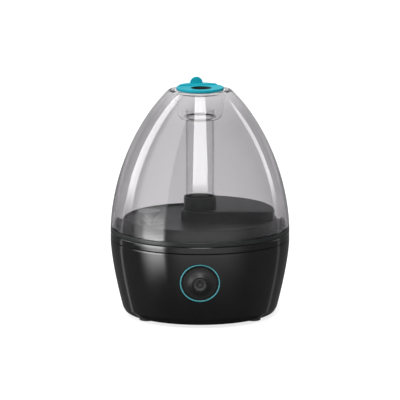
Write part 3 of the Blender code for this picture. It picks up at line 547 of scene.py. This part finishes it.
def clear(name, tint, density, roughness=0.02, pane=(0.8, 0.8, 0.8), ior=1.46):
    """Clear plastic: plain transmission, absorption by depth, and a tinted pane for shadow rays."""
    material = bpy.data.materials.new(name)
    material.use_nodes = True
    tree = material.node_tree
    shader, output = tree.nodes["Principled BSDF"], tree.nodes["Material Output"]
    position = node(tree, "ShaderNodeTexCoord").outputs["Object"]
    surface = use_group(tree, moulded, Position=position, Roughness=roughness, Patches=roughness, Grain=0.05,
                        Grain_Scale=600.0, Swell=0.5)
    relief = node(tree, "ShaderNodeBump")
    relief.inputs["Strength"].default_value = 0.03
    relief.inputs["Distance"].default_value = 0.0004
    tree.links.new(surface.outputs["Height"], relief.inputs["Height"])
    tree.links.new(relief.outputs["Normal"], shader.inputs["Normal"])
    tree.links.new(surface.outputs["Roughness"], shader.inputs["Roughness"])
    shader.inputs["Base Color"].default_value = (1.0, 1.0, 1.0, 1.0)
    shader.inputs["Transmission Weight"].default_value = 1.0
    shader.inputs["IOR"].default_value = ior
    window = node(tree, "ShaderNodeBsdfTransparent")
    window.inputs["Color"].default_value = (*pane, 1.0)
    choose = node(tree, "ShaderNodeMixShader")
    tree.links.new(node(tree, "ShaderNodeLightPath").outputs["Is Shadow Ray"], choose.inputs[0])
    tree.links.new(shader.outputs[0], choose.inputs[1])
    tree.links.new(window.outputs[0], choose.inputs[2])
    tree.links.new(choose.outputs[0], output.inputs["Surface"])
    if density:
        depth = node(tree, "ShaderNodeVolumeAbsorption")
        depth.inputs["Color"].default_value = (*tint, 1.0)
        depth.inputs["Density"].default_value = density
        tree.links.new(depth.outputs[0], output.inputs["Volume"])
    return material


smoke = clear("clear_smoke", (0.31, 0.285, 0.32), 238.0, pane=(0.66, 0.655, 0.665))
well_clear = clear("clear_well", (0.5, 0.5, 0.5), 16.0, pane=(0.9, 0.9, 0.9), ior=1.3)
tube_clear = clear("clear_tube", (0.5, 0.5, 0.5), 85.0, roughness=0.0, pane=(0.85, 0.85, 0.85), ior=1.04)
gasket_clear = clear("clear_gasket", (0.5, 0.5, 0.5), 60.0, pane=(0.8, 0.8, 0.8), ior=1.05)
print("clear finishes made")

# %% [markdown]
# The tank is one egg of even wall whose top closes to a rolled mouth. It is one closed profile: down the
# outside, in under the lower edge, up the inside and in at the mouth. A cup with a lip hangs from
# the mouth to hold the nozzle and the tube; it and the lip are moulded in clear plastic with less tint.
# Every turn of both walls is an arc, because clear plastic shows a sharp corner as a hard line.

# %% The tank
WALL, THINNED = 2.6, 1.3  # the wall's thickness, and how much of it is lost towards the mouth
THIN_FROM, THIN_OVER = 200.0, 24.0
EGG_TOP, LEDGE = 226.8, 224.9  # where the outside stops, and where the inside turns in
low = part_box("tank_shell")[0].z / MM
share = np.linspace(0.0, 1.0, 70)
heights = EGG_TOP - (EGG_TOP - low) * share ** 1.15
egg = np.c_[tank_radius(heights), heights]
wall = WALL - THINNED * np.clip((heights - THIN_FROM) / THIN_OVER, 0.0, 1.0)
inside = along_normal(egg, -wall[:, None])[::-1]
inside = inside[(inside[:, 1] > low + 0.8) & (inside[:, 1] < LEDGE)]
foot = [(egg[-1, 0] - WALL + 0.5, low), (egg[-1, 0] - WALL, low + 0.5)]
mouth = [(30.6, 226.6), (30.9, 227.0), (31.3, 227.1)]  # the edge of the mouth
tank = mesh_object("tank_egg", [turned(np.concatenate([egg, foot, inside, mouth]), FINE)])
dress(tank, smoke, "tank", ["tank_shell"], sharp=60.0)
well = rounded([(29.2, 227.6, 1.0), (30.2, 225.6, 0.5), (27.4, 225.0, 1.0), (26.3, 223.9, 1.2),
                (22.7, 203.6, 6.4), (20.4, 196.6, 5.4), (15.6, 196.6, 0.4), (15.6, 198.3, 0.4),
                (19.0, 198.5, 4.6), (21.0, 204.0, 4.2), (24.3, 224.0, 0.5), (24.3, 226.4, 0.3),
                (26.5, 226.5, 0.3), (26.9, 227.8, 0.6)])
dress(mesh_object("tank_well", [turned(well, FINE)]), well_clear, "tank", ["tank_shell"],
      sharp=60.0)

# %% [markdown]
# The mist tube is a plain clear tube with polished, slightly rounded ends. A clear silicone grommet
# holds it in the cup's floor and hardly shows. A flat black washer seals it in the collar below.

# %% The mist tube and its gaskets


def ring_of(node_name, inner, fillet=0.3, radius=None):
    """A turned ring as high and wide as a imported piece, with its bore and small fillets given."""
    lowest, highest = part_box(node_name)
    outer = radius or highest.x / MM - (lowest.x + highest.x) / 2 / MM
    bottom, top = lowest.z / MM, highest.z / MM
    return rounded([(outer, top, fillet), (outer, bottom, fillet),
                    (inner, bottom, fillet), (inner, top, fillet)])


tube = mesh_object("mist_pipe", [turned(ring_of("mist_tube", 12.6, 0.5))])
dress(tube, tube_clear, "tank", ["mist_tube"])
grommet = rounded([(16.4, 199.6, 0.3), (16.4, 198.7, 0), (15.3, 198.6, 0), (15.3, 196.2, 0.3),
                   (14.4, 196.2, 0), (14.4, 199.6, 0.3)])
dress(mesh_object("tube_grommet", [turned(grommet)]), gasket_clear, "tank", ["tube_gasket_upper"])
dress(mesh_object("tube_washer", [turned(ring_of("tube_gasket_lower", 12.7, 0.3))]), rubber, "tank",
      ["tube_gasket_lower"])

# %% [markdown]
# The tank's black floor is one moulding: a flange that carries the tank, a low tray, a raised part
# over the fan and a collar round the tube. The turned tray is joined with raised blocks whose outlines
# are arcs, and then hollowed from below and bored, the way the real one follows its tool.

# %% The tank's floor
FLOOR, PLATEAU = 97.0, 107.0
valve_at = middle_of("valve_seal")


def arc(radius, start, stop, steps, centre=(0.0, 0.0)):
    """Points on a circle from one angle to another, both in degrees."""
    angle = np.radians(np.linspace(start, stop, steps))
    return np.c_[centre[0] + radius * np.cos(angle), centre[1] + radius * np.sin(angle)]


def raised_outline(inset):
    """The raised floor: round the collar on the left, straight in front, the wall's arc behind."""
    collar, wall, left = 19.0 - inset, 74.6 - inset, -12.0 + inset
    front = -math.degrees(math.asin(collar / wall))
    back = 90.0 - math.degrees(math.asin(left / wall))
    meet = math.degrees(math.acos(left / collar))
    return np.concatenate([arc(wall, front, back, 48), arc(collar, meet, 270.0, 30)])


def column(radius, bottom, top, steps=SMALL, at=(0.0, 0.0), fillet=0.0):
    """A solid upright cylinder with an optional rounded top rim."""
    profile = rounded([(0, top, 0), (radius, top, fillet), (radius, bottom, 0), (0, bottom, 0)],
                      closed=False)
    return moved(turned(profile, steps, closed=False), (*at, 0.0))


tray = rounded([(0, FLOOR, 0), (73.4, FLOOR, 0.8), (74.2, 99.0, 0.6), (76.7, 99.0, 2.2),
                (78.5, 89.5, 0.8), (87.0, 89.5, 0), (89.5, 89.2, 0.4), (89.5, SEAM + 0.05, 0.5),
                (80.0, SEAM, 0.3), (76.0, 87.0, 0.6), (73.8, FLOOR - 2.5, 0.6),
                (0, FLOOR - 2.5, 0)], closed=False)
pipe_bore = 14.4
LUG_AT, LUG_HALF, LUG_WIDE = 82.6, 2.4, 9
lugs = []
for middle in (-LUG_AT, LUG_AT):
    near, far = middle - LUG_HALF, middle + LUG_HALF
    outline = rounded([(near, -LUG_WIDE, 1.2), (far, -LUG_WIDE, 1.2), (far, LUG_WIDE, 1.2),
                       (near, LUG_WIDE, 1.2)])
    lugs.append(prism(outline, 88.0, 96.6, fillet_high=1.4))
tank_floor = carved(
    "tank_tray", turned(tray, FINE, closed=False),
    added=[prism(raised_outline(0.0), 95.5, PLATEAU, fillet_high=1.6),
           column(16.2, PLATEAU - 2.0, 120.0, MEDIUM, fillet=0.6),
           column(14.6, FLOOR + 0.5, 98.6, MEDIUM, valve_at, 0.7)] + lugs,
    cut=[prism(raised_outline(2.5), 90.0, PLATEAU - 2.5, fillet_high=1.0)],
)
tank_floor = carved(
    "tank_tray_bored", shape_of(tank_floor.data),
    added=[column(14.6, 91.0, PLATEAU - 1.2, MEDIUM), column(11.0, 84.6, 96.0, SMALL, valve_at)],
    cut=[column(pipe_bore, PLATEAU - 0.2, 121.0, MEDIUM),
         column(pipe_bore - 2.0, 90.0, PLATEAU + 1.0, MEDIUM),
         column(9.4, 83.0, 100.0, SMALL, valve_at)],
)
bpy.data.objects.remove(bpy.data.objects["tank_tray"], do_unlink=True)
dress(tank_floor, floor_black, "tank", ["tank_floor"], sharp=38.0)

# %% [markdown]
# The nozzle is a turquoise disc that sits in the mouth of the tank over a black backing plate. It has
# an off-centre mist hole, a raised step behind, and an upright half-round tab to lift it by. The disc,
# step and tab are joined and the hole is cut through them. The backing's boss lines the hole, which is
# why the hole looks black. The nozzle turns to aim the mist, and here it stands 12 degrees round.

# %% The nozzle
NOZZLE_TOP = 230.3
nozzle_turn = np.array(Matrix.Rotation(math.radians(12.0), 3, "Z"))
disc = rounded([(0, NOZZLE_TOP, 0), (21.9, NOZZLE_TOP - 0.12, 0), (22.4, NOZZLE_TOP, 0.2),
                (23.6, NOZZLE_TOP, 0.6), (23.6, 227.5, 0.5), (22.9, 227.5, 0.2), (22.9, 228.4, 0.2),
                (0, 228.4, 0)], closed=False)
step_half = math.degrees(math.acos(10.6 / 22.2))
step = prism(arc(22.2, 90.0 - step_half, 90.0 + step_half, 40), 229.3, 231.5, fillet_high=0.8)
tab_outline = np.concatenate([arc(6.5, 0.0, 180.0, 40), [(-6.5, -1.5), (6.5, -1.5)]])
tab = prism(tab_outline, -1.1, 1.1, 0.45, 0.45)
upright = np.array([[1.0, 0.0, 0.0], [0.0, 0.0, -1.0], [0.0, 1.0, 0.0]])
tab = moved(tab, (0.0, 17.6, NOZZLE_TOP + 1.0), upright)
HOLE_AT = (0.0, -5.6)
disc_object = carved(
    "mist_nozzle", moved(turned(disc, FINE, closed=False), turn=nozzle_turn),
    added=[moved(step, turn=nozzle_turn), moved(tab, turn=nozzle_turn)],
    cut=[moved(column(10.4, 224.0, 236.0, MEDIUM, HOLE_AT), turn=nozzle_turn),
         moved(column(12.9, 224.0, 230.0, MEDIUM, HOLE_AT), turn=nozzle_turn)],
)
dress(disc_object, turquoise, "nozzle", ["nozzle"], sharp=40.0)
backing = carved(
    "nozzle_plate", moved(column(22.5, 226.7, 228.1, FINE, fillet=0.3), turn=nozzle_turn),
    added=[moved(column(12.6, 227.3, 229.8, MEDIUM, HOLE_AT), turn=nozzle_turn)],
    cut=[moved(column(10.4, 224.0, 236.0, MEDIUM, HOLE_AT), turn=nozzle_turn)],
)
dress(backing, dial_black, "nozzle", ["nozzle_backing"], sharp=40.0)
seal = rounded([(24.9, 227.2, 0.2), (24.9, 226.7, 0.2), (22.9, 226.7, 0), (22.9, 227.2, 0)])
dress(mesh_object("nozzle_washer", [turned(seal)]), silicone, "nozzle_ring", ["nozzle_seal"])

# %% [markdown]
# The base's outer shell is one glossy black moulding, open on top. Its side is the base curve and its
# bottom edge turns under in a broad curve. The dial sits in a round spot face on the front. That face
# leans back with the wall, so its cuts are made in the dial's own frame, whose Z points out of the wall.

# %% The dial's own frame
DIAL_TILT = math.radians(100.0)
DIAL_AT = np.array([0.0, -housing_radius(48.0), 48.0])
dial_turn = np.array(Matrix.Rotation(DIAL_TILT, 3, "X"))


def on_dial(shape):
    """A shape made about Z, carried into the dial's frame."""
    return moved(shape, DIAL_AT, dial_turn)


print("dial faces", np.round(dial_turn[:, 2], 3))

# %% The base's outer shell
edge = float(housing_radius(15.0))
heights = np.linspace(HOUSING_TOP - 0.5, 15.0, 28)
side = np.c_[housing_radius(heights), heights]
under = rounded([(edge - 0.2, 14.2, 0), (edge - 1.55, 9.0, 6.0), (edge - 4.4, 3.7, 4.0), (50.4, 3.7, 0.6),
                 (50.4, 7.2, 0.3), (43.0, 7.2, 0.3), (43.0, 9.4, 0.3), (50.4, 9.4, 0.6), (52.2, 6.1, 0.8),
                 (edge - 7.5, 6.1, 3.5), (edge - 2.9, 13.0, 2.0)], closed=False)
inner_heights = np.linspace(16.0, HOUSING_TOP - 0.3, 12)
inner = np.c_[housing_radius(inner_heights) - 2.4, inner_heights]
rim = [(WIDEST - 2.1, HOUSING_TOP), (WIDEST - 0.35, HOUSING_TOP), (WIDEST - 0.08, HOUSING_TOP - 0.15)]
shell_profile = np.concatenate([side, under, inner, rim])
boss = column(22.6, -7.4, -0.9, MEDIUM)
foot_places = [middle_of(f"foot_{number}") for number in range(1, 5)]
envelope_profile = np.concatenate([[(0, HOUSING_TOP)], side - (0.05, 0.0), [(0, 15.0)]])
boss_object = mesh_object("boss", [on_dial(boss)])
trim = mesh_object("trim", [turned(envelope_profile, FINE, closed=False)])
cutter = boss_object.modifiers.new("trim", "BOOLEAN")
cutter.operation, cutter.object, cutter.solver = "INTERSECT", trim, "EXACT"
graph = bpy.context.evaluated_depsgraph_get()
boss_shape = shape_of(bpy.data.meshes.new_from_object(boss_object.evaluated_get(graph)))
for helper in (boss_object, trim):
    bpy.data.objects.remove(helper, do_unlink=True)
recess = rounded([(0, 12.0, 0), (20.3, 12.0, 0), (20.3, -2.6, 0), (9.3, -2.6, 0), (9.3, -12.0, 0),
                  (0, -12.0, 0)], closed=False)
pipes = [on_dial(column(0.5, -9.0, -1.0, 24, (0.0, y))) for y in (-19.15, 19.15)]
posts = [on_dial(column(2.8, -17.6, -7.0, 24, (x, 0.0))) for x in (-15.5, 15.5)]
post_holes = [on_dial(column(1.4, -19.0, -9.0, 16, (x, 0.0))) for x in (-15.5, 15.5)]
JACK_AT, TO_BACK = (0.0, 0.0, 26.0), np.array(Matrix.Rotation(-math.pi / 2, 3, "X"))
jack_hole = moved(column(5.8, 70.0, 92.0, SMALL), JACK_AT, TO_BACK)
foot_holes = [column(4.2, 2.0, 8.0, 32, at) for at in foot_places]
base_shell = carved(
    "base_shell", turned(shell_profile, FINE), added=[boss_shape] + posts,
    cut=[on_dial(turned(recess, MEDIUM, closed=False)), jack_hole] + pipes + post_holes + foot_holes,
)
dress(base_shell, black_gloss, "base", ["housing"], sharp=35.0)

# %% [markdown]
# The top of the base is a second black moulding. Its rim is the band between the two seams, and inside
# it are the deck, the water pool, the mist chamber and the fan tower. They show when the tank is lifted,
# so they are built as they are: a turned deck joined with round and square walls, then hollowed.

# %% The top of the base


def lengthwise(start, stop, half):
    """Rectangle along the line from the mist chamber to the valve, between two distances."""
    along = np.array(valve_at) / math.hypot(*valve_at)
    across = np.array([-along[1], along[0]]) * half
    near, far = along * start, along * stop
    return np.array([near - across, far - across, far + across, near + across])


def cushion_outline(centre, half, corner):
    """A square with rounded corners, counter-clockwise."""
    (x, y), reach = centre, half
    signs = ((-1, -1), (1, -1), (1, 1), (-1, 1))
    return rounded([(x + a * reach, y + b * reach, corner) for a, b in signs], steps=10)


fan_at, float_at = middle_of("fan_frame"), middle_of("float_ring")
DECK, POOL = 82.5, 58.0
UNDER = POOL - 2.2
deck = rounded([(0, DECK, 0), (79.6, DECK, 0.8), (80.6, SEAM - 0.35, 0.6), (89.5, SEAM - 0.35, 0.5),
                (89.5, 78.2, 0.5), (86.2, 78.1, 0.3), (86.0, 73.0, 0.3), (84.2, 73.0, 0.3),
                (84.0, 80.2, 0.3), (0, 80.2, 0)], closed=False)


def ring_places(circle, angles):
    """Places on a circle at the given angles in degrees."""
    return [(circle * math.cos(math.radians(a)), circle * math.sin(math.radians(a))) for a in angles]


case_places = ring_places(47.0, (-30.0, 90.0, 210.0))
clamp_places = ring_places(21.5, (30.0, 150.0, 270.0))
fan_posts = [(fan_at[0] + s * 14.2, fan_at[1] + s * 14.2) for s in (-1, 1)]
pool = carved(
    "pool", turned(deck, FINE, closed=False),
    added=[column(26.2, UNDER, 81.5, MEDIUM), column(24.2, UNDER, 81.7, MEDIUM, valve_at),
           prism(lengthwise(0.0, 59.36, 20.2), UNDER, 81.3)]
          + [column(4.2, 9.7, 80.9, 24, at) for at in case_places]
          + [column(3.2, 49.8, UNDER + 1.0, 16, at) for at in clamp_places],
    cut=[column(24.0, POOL, 90.0, MEDIUM), column(22.0, POOL, 91.0, MEDIUM, valve_at),
         prism(lengthwise(0.0, 59.36, 18.0), POOL, 89.0)],
)
tower_edge = fan_at[0] - 21.25
block = np.array([(12.0, -1.6), (tower_edge + 1.0, -1.6), (tower_edge + 1.0, 13.0), (12.0, 13.0)])
window = np.array([(11.0, 0.4), (tower_edge + 4.0, 0.4), (tower_edge + 4.0, 11.0), (11.0, 11.0)])
basin = carved(
    "base_top", shape_of(pool.data),
    added=[prism(cushion_outline(fan_at, 21.25, 8.0), UNDER, 100.0, fillet_high=1.0),
           column(19.0, POOL - 1.0, 94.0, MEDIUM, fillet=0.6), prism(block, 84.0, 93.6, fillet_high=0.5),
           column(2.5, POOL - 1.0, 73.1, 24, valve_at, 0.5), column(2.6, POOL - 1.0, 74.0, 24, float_at),
           column(1.2, 73.0, 76.4, 16, float_at, 0.4)],
    cut=[prism(cushion_outline(fan_at, 19.25, 6.0), 50.0, 98.0), column(17.0, POOL + 0.01, 102.0, MEDIUM),
         prism(window, 85.6, 91.8), column(8.5, 50.0, 60.0, SMALL),
         prism(lengthwise(14.0, 21.5, 7.0), POOL + 0.02, 68.0)],
)
basin_drilled = carved(
    "base_top_drilled", shape_of(basin.data),
    added=[column(2.6, 84.3, 99.0, 16, at) for at in fan_posts],
    cut=[column(1.4, 80.0, 90.0, 16, at) for at in fan_posts]
        + [column(1.8, 6.0, 24.0, 16, at) for at in case_places]
        + [column(1.3, 46.0, 55.0, 16, at) for at in clamp_places],
)
for helper in (pool, basin):
    bpy.data.objects.remove(helper, do_unlink=True)
dress(basin_drilled, black_gloss, "base", ["basin"], sharp=35.0)

# %% [markdown]
# Underneath, a round cover closes the base. Air is drawn in through seven slots, so the slots are cut
# with round ends, as a tool would leave them. Four rubber feet stand it clear of the table.

# %% The cover and the feet
COVER_TOP, SLOT_REACH = 6.9, 19.5
slots = []
for number in range(-3, 4):
    x = number * 5.5
    half = math.sqrt(SLOT_REACH ** 2 - x ** 2) - 1.4
    outline = np.concatenate([arc(1.4, 0, 180, 9, (x, half)), arc(1.4, 180, 360, 9, (x, -half))])
    slots.append(prism(outline, 2.0, 9.0))
board_corners = [(x, y) for x in (-26, 26) for y in (-17, 22)]
cover_profile = rounded([(0, COVER_TOP, 0), (50.0, COVER_TOP, 0.3), (50.0, 3.7, 0.6), (0, 3.7, 0)],
                        closed=False)
cover = carved(
    "base_cover", turned(cover_profile, FINE, closed=False),
    added=[column(3.0, COVER_TOP - 1.0, 17.7, 24, at) for at in board_corners],
    cut=[column(1.4, 9.0, 20.0, 16, at) for at in (board_corners[0], board_corners[3])] + slots
        + [column(1.8, 2.0, 9.0, 16, at) for at in case_places]
        + [column(2.8, 2.0, 5.6, 24, at) for at in case_places],
)
dress(cover, black_matte, "base", ["bottom_plate"], sharp=35.0)
foot_profile = rounded([(0, 7.0, 0), (3.6, 7.0, 0.6), (3.8, 3.4, 0.3), (8.0, 3.4, 0.8), (8.0, 0, 0.8),
                        (6.4, 0, 0.4), (5.6, 0.5, 0.3), (0, 0.5, 0)], closed=False)
for number, at in enumerate(foot_places, 1):
    foot_shape = moved(turned(foot_profile, SMALL, closed=False), (*at, 0.0))
    foot_object = mesh_object(f"rubber_foot_{number}", [foot_shape])
    dress(foot_object, rubber, "base", [f"foot_{number}"])

# %% [markdown]
# The dial is three turned pieces on one axis: a thin turquoise ring that lights up, a knob whose face
# flares down like a shallow trumpet bell, and a push button in its middle with a dished face. The
# button carries the plain power sign, an open circle and a bar. It is pressed into the face as a real
# groove, by lowering the grid's points where they lie close to the sign's lines. Inside the groove the
# button's colour is darkened to near black, which is painted shade, and the surface is made matte.

# %% The dial
ring_profile = rounded([(19.7, -1.3, 0.3), (19.7, -2.3, 0), (18.6, -2.3, 0), (18.6, -1.3, 0.3)])
dial_ring = mesh_object("dial_ring", [on_dial(turned(ring_profile, FINE))])
dress(dial_ring, ring_turquoise, "base", ["light_ring"])
share = np.linspace(1.0, 0.0, 24)
flare = np.c_[15.7 - 7.3 * share, -0.9 + 3.0 * share ** 2.0]
crest = rounded([(7.25, 2.4, 0), (7.25, 3.0, 0.25), (7.9, 2.95, 0.5), (8.5, 2.1, 0)], closed=False)
skirt = rounded([(15.8, -0.9, 0), (16.2, -1.0, 0.25), (16.2, -2.2, 0.2), (8.9, -2.2, 0.3),
                 (8.9, -9.8, 0.3), (5.2, -9.8, 0.3), (5.2, -1.7, 0.2), (2.7, -1.7, 0.2),
                 (2.7, -0.3, 0.2), (7.2, -0.3, 0.2)], closed=False)
knob = mesh_object("dial_knob", [on_dial(turned(np.concatenate([crest, flare[1:], skirt]), FINE))])
dress(knob, dial_black, "knob", ["control_knob"], sharp=40.0)

FACE_RADIUS, SIGN_RADIUS, SIGN_LINE, SIGN_DEPTH = 6.0, 2.9, 0.4, 0.45


def sign_share(x, y):
    """How deep the power sign's groove is at a point, 0 to 1: an open arc and a bar, with soft walls."""
    radius, angle = np.hypot(x, y), np.degrees(np.arctan2(x, y))
    gap = np.radians(np.clip(38.0 - np.abs(angle), 0.0, None)) * SIGN_RADIUS
    to_arc = np.hypot(radius - SIGN_RADIUS, gap)
    to_bar = np.hypot(x, np.clip(np.abs(y - 2.6) - 1.5, 0.0, None))
    nearest = np.minimum(to_arc, to_bar)
    fall = np.clip((SIGN_LINE + 0.14 - nearest) / 0.2, 0.0, 1.0)
    return fall * fall * (3.0 - 2.0 * fall)


face_radii = np.concatenate([np.linspace(0.0, FACE_RADIUS, 76), [6.3, 6.55, 6.68, 6.7]])
BUTTON_STEPS = 240
angle = np.linspace(0.0, 2.0 * np.pi, BUTTON_STEPS, endpoint=False)[:, None]
face_x, face_y = face_radii * np.cos(angle), face_radii * np.sin(angle)
rise = 0.65 * np.clip(face_radii / 6.0, 0.0, 1.0) ** 2.2
edge_fall = np.clip((face_radii - 6.2) / 0.5, 0.0, 1.0) ** 2
dish = 2.7 + rise - edge_fall
sign = sign_share(face_x, face_y)
face_z = dish[None, :] - SIGN_DEPTH * sign
stem = np.array([(6.7, 0.9), (2.2, 0.9), (2.2, -13.6), (0.0, -13.6)])
stem_heights = np.broadcast_to(stem[:, 1], (BUTTON_STEPS, len(stem)))
stem_grid = np.stack([stem[:, 0] * np.cos(angle), stem[:, 0] * np.sin(angle), stem_heights], -1)
button_points = np.concatenate([np.stack([face_x, face_y, face_z], -1), stem_grid], axis=1)
button_faces = sheet_faces(BUTTON_STEPS, button_points.shape[1], True, False)
button_shape = (button_points.reshape(-1, 3), button_faces)
push_button = mesh_object("dial_button", [on_dial(button_shape)])
# The sign's mask is stored on the button's points. In the groove it darkens the colour to near black as
# painted shade, and it raises the roughness to a matte finish.
coords = np.empty(len(push_button.data.vertices) * 3)
push_button.data.vertices.foreach_get("co", coords)
local = (coords.reshape(-1, 3) / MM - DIAL_AT) @ dial_turn
on_face = (local[:, 2] > 1.8) & (np.hypot(local[:, 0], local[:, 1]) < FACE_RADIUS)
groove = push_button.data.attributes.new("sign", "FLOAT", "POINT")
groove.data.foreach_set("value", sign_share(local[:, 0], local[:, 1]) * on_face)
button_tree = button_black.node_tree
groove_shade_mask = node(button_tree, "ShaderNodeAttribute", attribute_name="sign").outputs["Fac"]
button_shader = button_tree.nodes["Principled BSDF"]
for socket, in_groove in (("Base Color", (0.0006, 0.0006, 0.0006, 1.0)), ("Roughness", 0.95)):
    kind = "RGBA" if socket == "Base Color" else "FLOAT"
    pick = node(button_tree, "ShaderNodeMix", data_type=kind)
    plain = button_shader.inputs[socket].links[0].from_socket
    button_tree.links.new(groove_shade_mask, pick.inputs[0])
    first, second, result = (6, 7, 2) if kind == "RGBA" else (2, 3, 0)
    button_tree.links.new(plain, pick.inputs[first])
    pick.inputs[second].default_value = in_groove
    button_tree.links.new(pick.outputs[result], button_shader.inputs[socket])
dress(push_button, button_black, "button", ["power_button"], sharp=50.0)

# %% [markdown]
# The filler cap, the valve, the float and the power socket are small turned pieces. The cap closes the
# neck under the tank, and a post in the pool lifts the plunger when the tank is seated. The plunger's
# flared guard stands in the tank above the low floor and is moulded in milky grey plastic.

# %% Cap, valve, float and socket
cap_profile = rounded([(13.0, 93.4, 0.4), (13.0, 79.4, 1.2), (9.0, 79.4, 0.5), (9.0, 82.0, 0.4),
                       (4.5, 82.0, 0.4), (4.5, 84.0, 0.3), (11.4, 84.0, 0.3), (11.4, 93.4, 0.3)])
RIB_CIRCLE = 12.8
ribs = [column(0.9, 81.0, 92.6, 16, (valve_at[0] + x, valve_at[1] + y), 0.5)
        for x, y in ring_places(RIB_CIRCLE, np.arange(8) * 45.0)]
cap = carved("neck_cap", moved(turned(cap_profile), (*valve_at, 0.0)), added=ribs)
dress(cap, black_matte, "cap", ["filler_cap"], sharp=35.0)

grey_milky = finish("grey_milky", (0.2, 0.205, 0.21), (0.26, 0.265, 0.27), roughness=0.4,
                    patches=0.1, grain=0.3)
grey_shader = grey_milky.node_tree.nodes["Principled BSDF"]
grey_shader.inputs["Transmission Weight"].default_value = 0.35
plunger_profile = rounded([(0, 102.4, 0), (2.2, 102.5, 1.2), (10.8, 111.4, 0.3), (11.4, 110.9, 0.3),
                           (2.6, 100.6, 0), (2.2, 98.0, 0), (2.2, 91.0, 0.3), (6.2, 91.0, 0.3),
                           (6.2, 90.0, 0.3), (2.2, 90.0, 0), (2.2, 75.2, 0.3), (6.4, 75.2, 0.4),
                           (6.4, 73.4, 0.4), (0, 73.4, 0)], closed=False)
plunger_shape = moved(turned(plunger_profile, MEDIUM, closed=False), (*valve_at, 0.0))
plunger = mesh_object("valve_guard", [plunger_shape])
dress(plunger, grey_milky, "valve", ["valve_plunger"])

float_profile = rounded([(8.0, 65.5, 0.8), (8.0, 58.5, 0.5), (6.5, 58.5, 0.2), (6.5, 61.1, 0.2),
                         (4.1, 61.1, 0.2), (4.1, 58.5, 0.2), (3.1, 58.5, 0.3), (3.1, 65.5, 0.5)])
float_body = mesh_object("float_block", [moved(turned(float_profile, MEDIUM), (*float_at, 0.0))])
dress(float_body, float_white, "float", ["float_ring"])
clip_profile = rounded([(4.6, 75.4, 0.4), (4.6, 74.3, 0.2), (1.5, 74.3, 0.2), (1.5, 75.4, 0.2)])
clip = mesh_object("float_stop", [moved(turned(clip_profile, SMALL), (*float_at, 0.0))])
dress(clip, silicone, "base", ["float_clip"])
jack_profile = rounded([(0, 78.6, 0), (1.0, 78.2, 0.3), (1.0, 68.0, 0), (3.0, 68.0, 0), (3.0, 79.9, 0.3),
                        (5.5, 79.9, 0.4), (5.5, 74.0, 0), (6.8, 74.0, 0.3), (6.8, 62.0, 0.3),
                        (0, 62.0, 0)], closed=False)
jack = mesh_object("power_socket", [moved(turned(jack_profile, MEDIUM, closed=False), JACK_AT, TO_BACK)])
dress(jack, component, "base", ["dc_jack"])

# %% [markdown]
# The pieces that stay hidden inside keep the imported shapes. They still get finishes of their own, by
# slot name, because they come into view when someone opens the base: steel screws, green boards, a
# copper coil, an aluminium heat sink and clamp, silicone seals and white leads.

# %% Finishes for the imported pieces
by_slot = {
    "black_gloss": black_gloss, "floor_black": floor_black, "clear_smoke": tube_clear,
    "turquoise": turquoise, "ring_turquoise": ring_turquoise, "grey_translucent": grey_milky,
    "black_matte": black_matte,
    "dark_rubber": rubber, "silicone": silicone, "steel": steel, "aluminium": aluminium, "brass": brass,
    "board_green": board, "component_black": component, "copper": copper, "wire_white": wire_white,
    "float_white": float_white,
}
dressed = 0
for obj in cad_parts.values():
    for holder in obj.material_slots:
        base_name = holder.material.name.split(".")[0] if holder.material else ""
        if base_name in by_slot and holder.material is not by_slot[base_name]:
            holder.material = by_slot[base_name]
            dressed += 1
print("packed slots dressed:", dressed)
